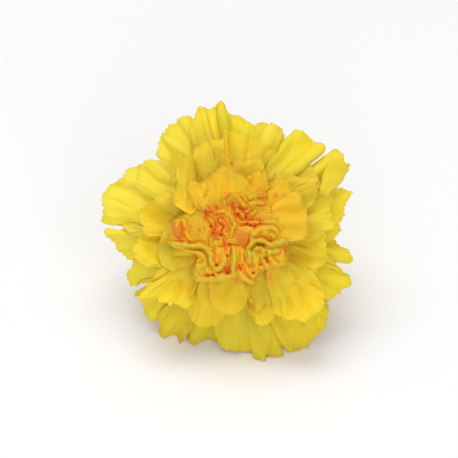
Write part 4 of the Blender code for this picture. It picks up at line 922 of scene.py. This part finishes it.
def foldedHeart():
    field, paint = heartField, heartPaint
    x, y, share = heartPlan(field)
    rise, trough, green, nearest = heartLips(x, y, field)
    crumple = softSpots(x, y, field["crumpled"])
    calm = softSpots(x, y, [(*spot[:3], 1) for spot in field["raised"]], 4)
    hole = softSpots(x, y, [(*spot, 1) for spot in field["holes"]])
    turned = shiftedPlan(x, y, field["turn"], field["turnSize"], 45)
    crest = 1 - np.abs(2 * cloud(*turned, field["foldSize"], 47) - 1)
    small = field["smallFolds"] * (crest - 0.5) * (0.2 + crumple) * (1 - 0.85 * calm)
    slow = field["slowFolds"] * (cloud(x, y, field["slowSize"], 48) - 0.5)
    level = field["height"] + rise - field["trough"] * trough * (1 - 0.7 * calm) + small + slow
    level = level - field["holeDepth"] * hole + softSpots(x, y, field["raised"])
    level = level - field["skirt"] * smoothStep(field["skirtFrom"], 1, share)
    flush = paint["flush"] + softSpots(x, y, field["flushed"])
    # painted shade: deeper orange in the troughs and fold valleys
    flush = flush + paint["troughShade"] * trough + paint["foldValleyShade"] * crumple * (1 - crest)
    flush = np.clip(flush * (1 - paint["lipKeeps"] * green), 0, paint["mostFlush"])
    # painted shade: the holes are tinted dark red
    redMarkAndHoleShade = paint["holeShadeRed"] * hole
    for line in field["flames"]:
        near = lineDistance(x, y, line) / flameWidth
        redMarkAndHoleShade = np.maximum(redMarkAndHoleShade, paint["lineFlame"] * np.exp(-near ** 2))
    fan = np.dstack([1.3 * nearest + 3 * cloud(x, y, 4, 49), x - y, np.full_like(x, 31.7)])
    tint = np.dstack([np.full_like(x, paint["warm"]), flush, green])
    return {"grid": np.dstack([x, y, level]), "thick": field["thick"], "petalTint": tint, "petalFan": fan,
            "petalRimBrowningAndShade": np.zeros_like(x), "petalRedMarkAndHoleShade": redMarkAndHoleShade}


def makePetals():
    groups, seed = {}, 1
    for name, whorl, petals, halved in (("guardPetals", guardWhorl, guardPetals, True),
                                        ("middlePetals", middleWhorl, middlePetals, True),
                                        ("hoodPetals", hoodWhorl, hoodPetals, False)):
        sheets = [fanPetal(whorl, one, seed + i) for i, one in enumerate(petals)]
        seed += len(petals)
        half = len(sheets) // 2
        parts = {name + "Under": sheets[:half], name + "Over": sheets[half:]} if halved else {name: sheets}
        groups.update(parts)
    groups["heartPetals"] = [foldedHeart()]
    skin = petalMaterial()
    for name, sheets in groups.items():
        showPiece(name, bladeMesh(name, sheets), skin, "petals")


makePetals()


# Green parts and claws: rings of points round the axis
sharpAngle = 50  # degrees, past which an edge is shown sharp


def ringMesh(name, angles, radius, height, tone, faces, ends=()):
    ones = np.ones_like(radius)
    points = np.stack([radius * np.cos(angles), radius * np.sin(angles), height], axis=2).reshape(-1, 3)
    place = np.stack([angles * ones, height, tone * ones], axis=2).reshape(-1, 3)
    ends = np.array([(0, 0, z) for z in ends]).reshape(-1, 3)
    values = {"greenPlace": np.concatenate([place, ends[:, [0, 2, 1]]])}
    mesh = bloomMesh(name, np.concatenate([points, ends]), faces, values)
    mesh.set_sharp_from_angle(angle=math.radians(sharpAngle))
    return mesh


def ringQuads(lower, upper):
    quads = np.stack([lower, np.roll(lower, -1, axis=1), np.roll(upper, -1, axis=1), upper], axis=2)
    return quads.reshape(-1, 4)


def turnedMesh(name, outline, sides, sculpt):  # turns an outline of (radius, height) from axis to axis
    outline = np.array(outline, float)
    angles = np.linspace(0, 2 * math.pi, sides, endpoint=False)
    radius, height = (np.repeat(part[1:-1, None], sides, axis=1) for part in outline.T)
    rows = len(outline) - 2
    radius, height, tone = sculpt(np.arange(1, rows + 1)[:, None], angles[None, :], radius, height)
    index = np.arange(rows * sides).reshape(rows, sides)
    after = np.roll(index, -1, axis=1)
    faces = ringQuads(index[:-1], index[1:]).tolist()
    faces += [(rows * sides, after[0, k], index[0, k]) for k in range(sides)]
    faces += [(rows * sides + 1, index[-1, k], after[-1, k]) for k in range(sides)]
    return ringMesh(name, angles, radius, height, tone, faces, (outline[0, 1], outline[-1, 1]))


def offsetLine(points, distance):  # a line moved square to itself
    along = np.gradient(points, axis=0)
    away = np.column_stack([along[:, 1], -along[:, 0]])
    return points + distance * away / np.linalg.norm(away, axis=1, keepdims=True)


calyxShape = {
    "side": [(3.2, -27), (5.4, -25.8), (6.9, -23.4), (7.6, -20), (7.9, -15), (7.9, -5), (7.6, -1.2),
             (8.2, 0.6)],
    "wall": 0.55, "floor": 1.8, "step": 0.35, "sides": 175,
    "teeth": 5, "toothHeight": 3.4, "toothFrom": -9, "mouth": 0.6, "flare": 0.35, "paler": 0.25,
    "ribs": 35, "ribDepth": 0.07, "ribsFrom": (-27, -22),
}
bractShape = {
    "wall": 0.62, "lip": 1.8, "lipRadius": 8.3, "collar": 1.2, "step": 0.3, "sides": 200,
    "veins": 40, "veinDepth": 0.05, "flare": 0.3, "paler": 0.3,
}
innerBracts = {**bractShape, "reach": 4, "gap": 0.3, "tip": 5.0, "turn": 0.0}
outerBracts = {**bractShape, "reach": 3, "gap": 1.43, "tip": 4.0, "turn": math.pi / 2}
stemShape = {
    "radius": 2.5, "top": -27.3, "swell": 0.6, "swellLength": 4.0, "step": 0.4, "sides": 96,
    "ridges": 11, "ridgeDepth": 0.05, "wave": 0.06, "palerCut": 0.6,
}
clawShape = {
    "side": [(0, -20), (3, -20), (5.2, -18), (6.0, -12), (6.2, -4), (6.0, 1), (6.0, 5), (6.6, 8), (6.6, 11),
             (5, 12.5), (0, 12.8)],
    "sides": 360, "ridges": 45, "ridgeDepth": 0.16, "twist": 0.2,
    "foot": (0.62, 0.66, 0.30), "top": (0.80, 0.36, 0.03), "fade": (-4.0, 9.0), "stripe": 0.12,
    "roughness": 0.5,
}
greenPaint = {
    "calyx": {"deep": (0.13, 0.24, 0.07), "pale": (0.33, 0.43, 0.17), "bloom": (0.36, 0.45, 0.33)},
    "bract": {"deep": (0.17, 0.27, 0.08), "pale": (0.40, 0.46, 0.20), "bloom": (0.38, 0.46, 0.33)},
    "stem": {"deep": (0.18, 0.31, 0.11), "pale": (0.42, 0.50, 0.25), "bloom": (0.40, 0.49, 0.36)},
    "waxy": 0.55,               # how far the powdery bloom covers the green
    "roughness": (0.38, 0.62),
}


def ridgeLines(tree, angle, count):
    return mathNode(tree, "SINE", mathNode(tree, "MULTIPLY", angle, float(count)))


def greenMaterial(name, veins):
    paint = greenPaint[name]
    material, tree, shader = newMaterial(name + "Green")
    angle, _, paler = splitVector(tree, pointValue(tree, "greenPlace", "Vector"))
    lines = ridgeLines(tree, angle, veins)
    coords = addNode(tree, "ShaderNodeTexCoord").outputs["Object"]
    mottle = noiseNode(tree, coords, 420.0, 4.0)
    dust = noiseNode(tree, coords, 130.0, 5.0, 0.65)
    blend = weighted(tree, lines, 0.10, mottle, 0.55)
    colour = mixColour(tree, mathNode(tree, "ADD", blend, paler, clamp=True), paint["deep"], paint["pale"])
    waxy = rangeNode(tree, dust, 0.42, 0.7, 0.0, greenPaint["waxy"], kind="SMOOTHSTEP")
    relief = weighted(tree, lines, 0.3, mottle, 0.5)
    setInputs(tree, shader, {
        "Base Color": mixColour(tree, waxy, colour, paint["bloom"]),
        "Normal": bumpNode(tree, relief, 0.3, 0.15),
        "Roughness": rangeNode(tree, dust, 0.0, 1.0, *greenPaint["roughness"]), "Specular IOR Level": 0.4,
        "Subsurface Weight": 0.12, "Subsurface Radius": (0.5, 0.8, 0.2), "Subsurface Scale": 1.0 * mm})
    return material


def makeCalyx():
    shape = calyxShape
    outer = smoothCurve(shape["side"], shape["step"])[0]
    inner = offsetLine(outer, -shape["wall"])
    floor = outer[0, 1] + shape["floor"]
    inner = inner[inner[:, 1] > floor]
    run = np.concatenate([[(0, outer[0, 1])], outer, inner[::-1], [(0, floor)]])
    rim = len(outer)

    def sculpt(row, angle, radius, height):
        turn = (angle * shape["teeth"] / (2 * math.pi)) % 1
        lobe = (1 - np.abs(2 * turn - 1)) ** 1.1
        near = smoothStep(shape["toothFrom"], shape["mouth"], height) * (np.abs(row - rim) < rim)
        rib = np.cos(angle * shape["ribs"]) * shape["ribDepth"] * (row <= rim)
        rib = rib * smoothStep(*shape["ribsFrom"], height)
        flare = shape["flare"] * lobe * smoothStep(-2, shape["mouth"], height)
        paler = shape["paler"] * smoothStep(-1.5, shape["mouth"], height) * lobe - 0.05
        return radius + rib + flare, height + shape["toothHeight"] * lobe * near, paler

    mesh = turnedMesh("calyxTube", run, shape["sides"], sculpt)
    showPiece("calyxTube", mesh, greenMaterial("calyx", shape["ribs"]), "calyx")


def makeBracts(name, shape, node, material):  # a pair of pointed scales in one cup round the calyx
    side = np.array(calyxShape["side"][:shape["reach"]], float)
    lip = (shape["lipRadius"], side[-1, 1] + shape["lip"])
    side = np.concatenate([[side[0] - (0, shape["collar"])], side, [lip]])
    outer, inner = (smoothCurve(np.delete(offsetLine(side, gap), 1, axis=0), shape["step"])[0]
                    for gap in (shape["gap"] + shape["wall"], shape["gap"]))
    loop = np.concatenate([outer, inner[::-1]])
    angles = np.linspace(0, 2 * math.pi, shape["sides"], endpoint=False)
    lobe = 1 - np.abs(2 * (((angles - shape["turn"]) / math.pi) % 1) - 1)
    share = smoothStep(outer[:, 1].min() + 1, max(outer[-1, 1], inner[-1, 1]), loop[:, 1])[:, None]
    isOuter = (np.arange(len(loop)) < len(outer))[:, None]
    vein = shape["veinDepth"] * np.cos(angles * shape["veins"]) * isOuter * share
    radius = loop[:, :1] + vein + shape["flare"] * share ** 3 * lobe ** 3
    height = loop[:, 1:] + shape["tip"] * lobe[None, :] ** 1.15 * share
    tone = shape["paler"] * share ** 2 * lobe[None, :] - 0.05
    index = np.arange(radius.size).reshape(radius.shape)
    faces = ringQuads(index, np.roll(index, -1, axis=0))
    showPiece(name, ringMesh(name, angles, radius, height, tone, faces), material, node)


def makeStem():
    shape = stemShape
    tip, radius, top = headLay["stemTip"], shape["radius"], shape["top"]
    side = [(radius, tip), (radius, top - shape["swellLength"]), (radius + shape["swell"], top)]
    side = smoothCurve(side, shape["step"])[0]
    cut = [(0, tip + 0.15), (0.6, tip + 0.12), (1.3, tip + 0.1), (1.9, tip), (radius - 0.12, tip)]
    run = cut + [tuple(point) for point in side] + [(radius, top), (1.2, top), (0, top)]

    def sculpt(row, angle, radius, height):
        ridge = shape["ridgeDepth"] * np.cos(angle * shape["ridges"]) * (radius > 2)
        wave = shape["wave"] * np.sin(height * 0.5 + angle) * (height > tip + 1) * (height < top - 1)
        return radius + ridge - shape["wave"] + wave, height, shape["palerCut"] * (row < len(cut)) + 0.05

    mesh = turnedMesh("stemStub", run, shape["sides"], sculpt)
    showPiece("stemStub", mesh, greenMaterial("stem", shape["ridges"]), "stem")


def makeClaws():  # the bundle of narrow claws inside the calyx, where the petals come from
    shape = clawShape

    def sculpt(row, angle, radius, height):
        ridge = shape["ridgeDepth"] * np.cos(angle * shape["ridges"] + shape["twist"] * height)
        return radius + ridge, height, 0

    material, tree, shader = newMaterial("clawCream")
    angle, height, _ = splitVector(tree, pointValue(tree, "greenPlace", "Vector"))
    stripe = mathNode(tree, "MULTIPLY", ridgeLines(tree, angle, shape["ridges"]), shape["stripe"])
    blend = mathNode(tree, "ADD", rangeNode(tree, height, *shape["fade"]), stripe, clamp=True)
    setInputs(tree, shader, {"Base Color": mixColour(tree, blend, shape["foot"], shape["top"]),
                             "Roughness": shape["roughness"]})
    mesh = turnedMesh("petalClaws", shape["side"], shape["sides"], sculpt)
    showPiece("petalClaws", mesh, material, "petals")


makeCalyx()
bractGreen = greenMaterial("bract", bractShape["veins"])
makeBracts("innerBractPair", innerBracts, "inner_bracts", bractGreen)
makeBracts("outerBractPair", outerBracts, "outer_bracts", bractGreen)
makeStem()
makeClaws()

# Pale table, soft light and the camera that looks straight into the bloom
studio = {
    "pixelMm": 0.3,             # size of one pixel of the picture at the bloom
    "pictureSide": 458,
    "centrePixel": (229, 232),  # where the bloom's axis falls in the picture
    "distance": 1.3,            # metres from the bloom to the camera
    "focusHeight": 10.0,        # mm along the axis, at which a pixel has that size
    "sensor": 36,
    "tableReach": 3,            # metres
    "tableTone": 0.93, "tableRoughness": 0.9,
    "worldLight": 0.5,
    "lights": {                 # place, size and power
        "overheadLight": ((-0.1, 0.1, 0.9), 0.6, 4.1),
        "frontLight": ((0.1, -0.75, 0.5), 0.8, 2.8),
    },
}


def makeCamera(focus, axis):
    data = bpy.data.cameras.new("straightOn")
    camera = addObject("straightOn", data)
    bpy.context.scene.camera = camera
    pixels = studio["pictureSide"]
    data.sensor_width = studio["sensor"]
    data.lens = studio["sensor"] * studio["distance"] / (studio["pixelMm"] * pixels * mm)
    data.shift_x = (pixels / 2 - studio["centrePixel"][0]) / pixels
    data.shift_y = (studio["centrePixel"][1] - pixels / 2) / pixels
    camera.location = focus + axis * studio["distance"]
    camera.rotation_euler = (lean, 0, 0)


def makeTable():
    mesh = bpy.data.meshes.new("table")
    reach = studio["tableReach"]
    corners = [(-reach, -reach, 0), (reach, -reach, 0), (reach, reach, 0), (-reach, reach, 0)]
    mesh.from_pydata(corners, [], [(0, 1, 2, 3)])
    white, tree, shader = newMaterial("tableWhite")
    tone = studio["tableTone"]
    setInputs(tree, shader, {"Base Color": (tone, tone, tone, 1), "Roughness": studio["tableRoughness"]})
    mesh.materials.append(white)
    table = addObject("table", mesh)


def makeLight(focus):
    world = bpy.data.worlds.new("softRoom")
    bpy.context.scene.world = world
    world.use_nodes = True
    background = world.node_tree.nodes["Background"]
    background.inputs["Color"].default_value = (1, 1, 1, 1)
    background.inputs["Strength"].default_value = studio["worldLight"]
    for name, (place, size, power) in studio["lights"].items():
        light = bpy.data.lights.new(name, "AREA")
        light.size = size
        light.energy = power
        lamp = addObject(name, light)
        lamp.location = place
        lamp.rotation_euler = (focus - lamp.location).to_track_quat("-Z", "Y").to_euler()
    bpy.context.scene.view_settings.view_transform = "Standard"


bloomAxis = bloomMatrix.to_3x3().col[2]
bloomFocus = bloomMatrix @ Vector((0, 0, studio["focusHeight"] * mm))
makeCamera(bloomFocus, bloomAxis)
makeTable()
makeLight(bloomFocus)
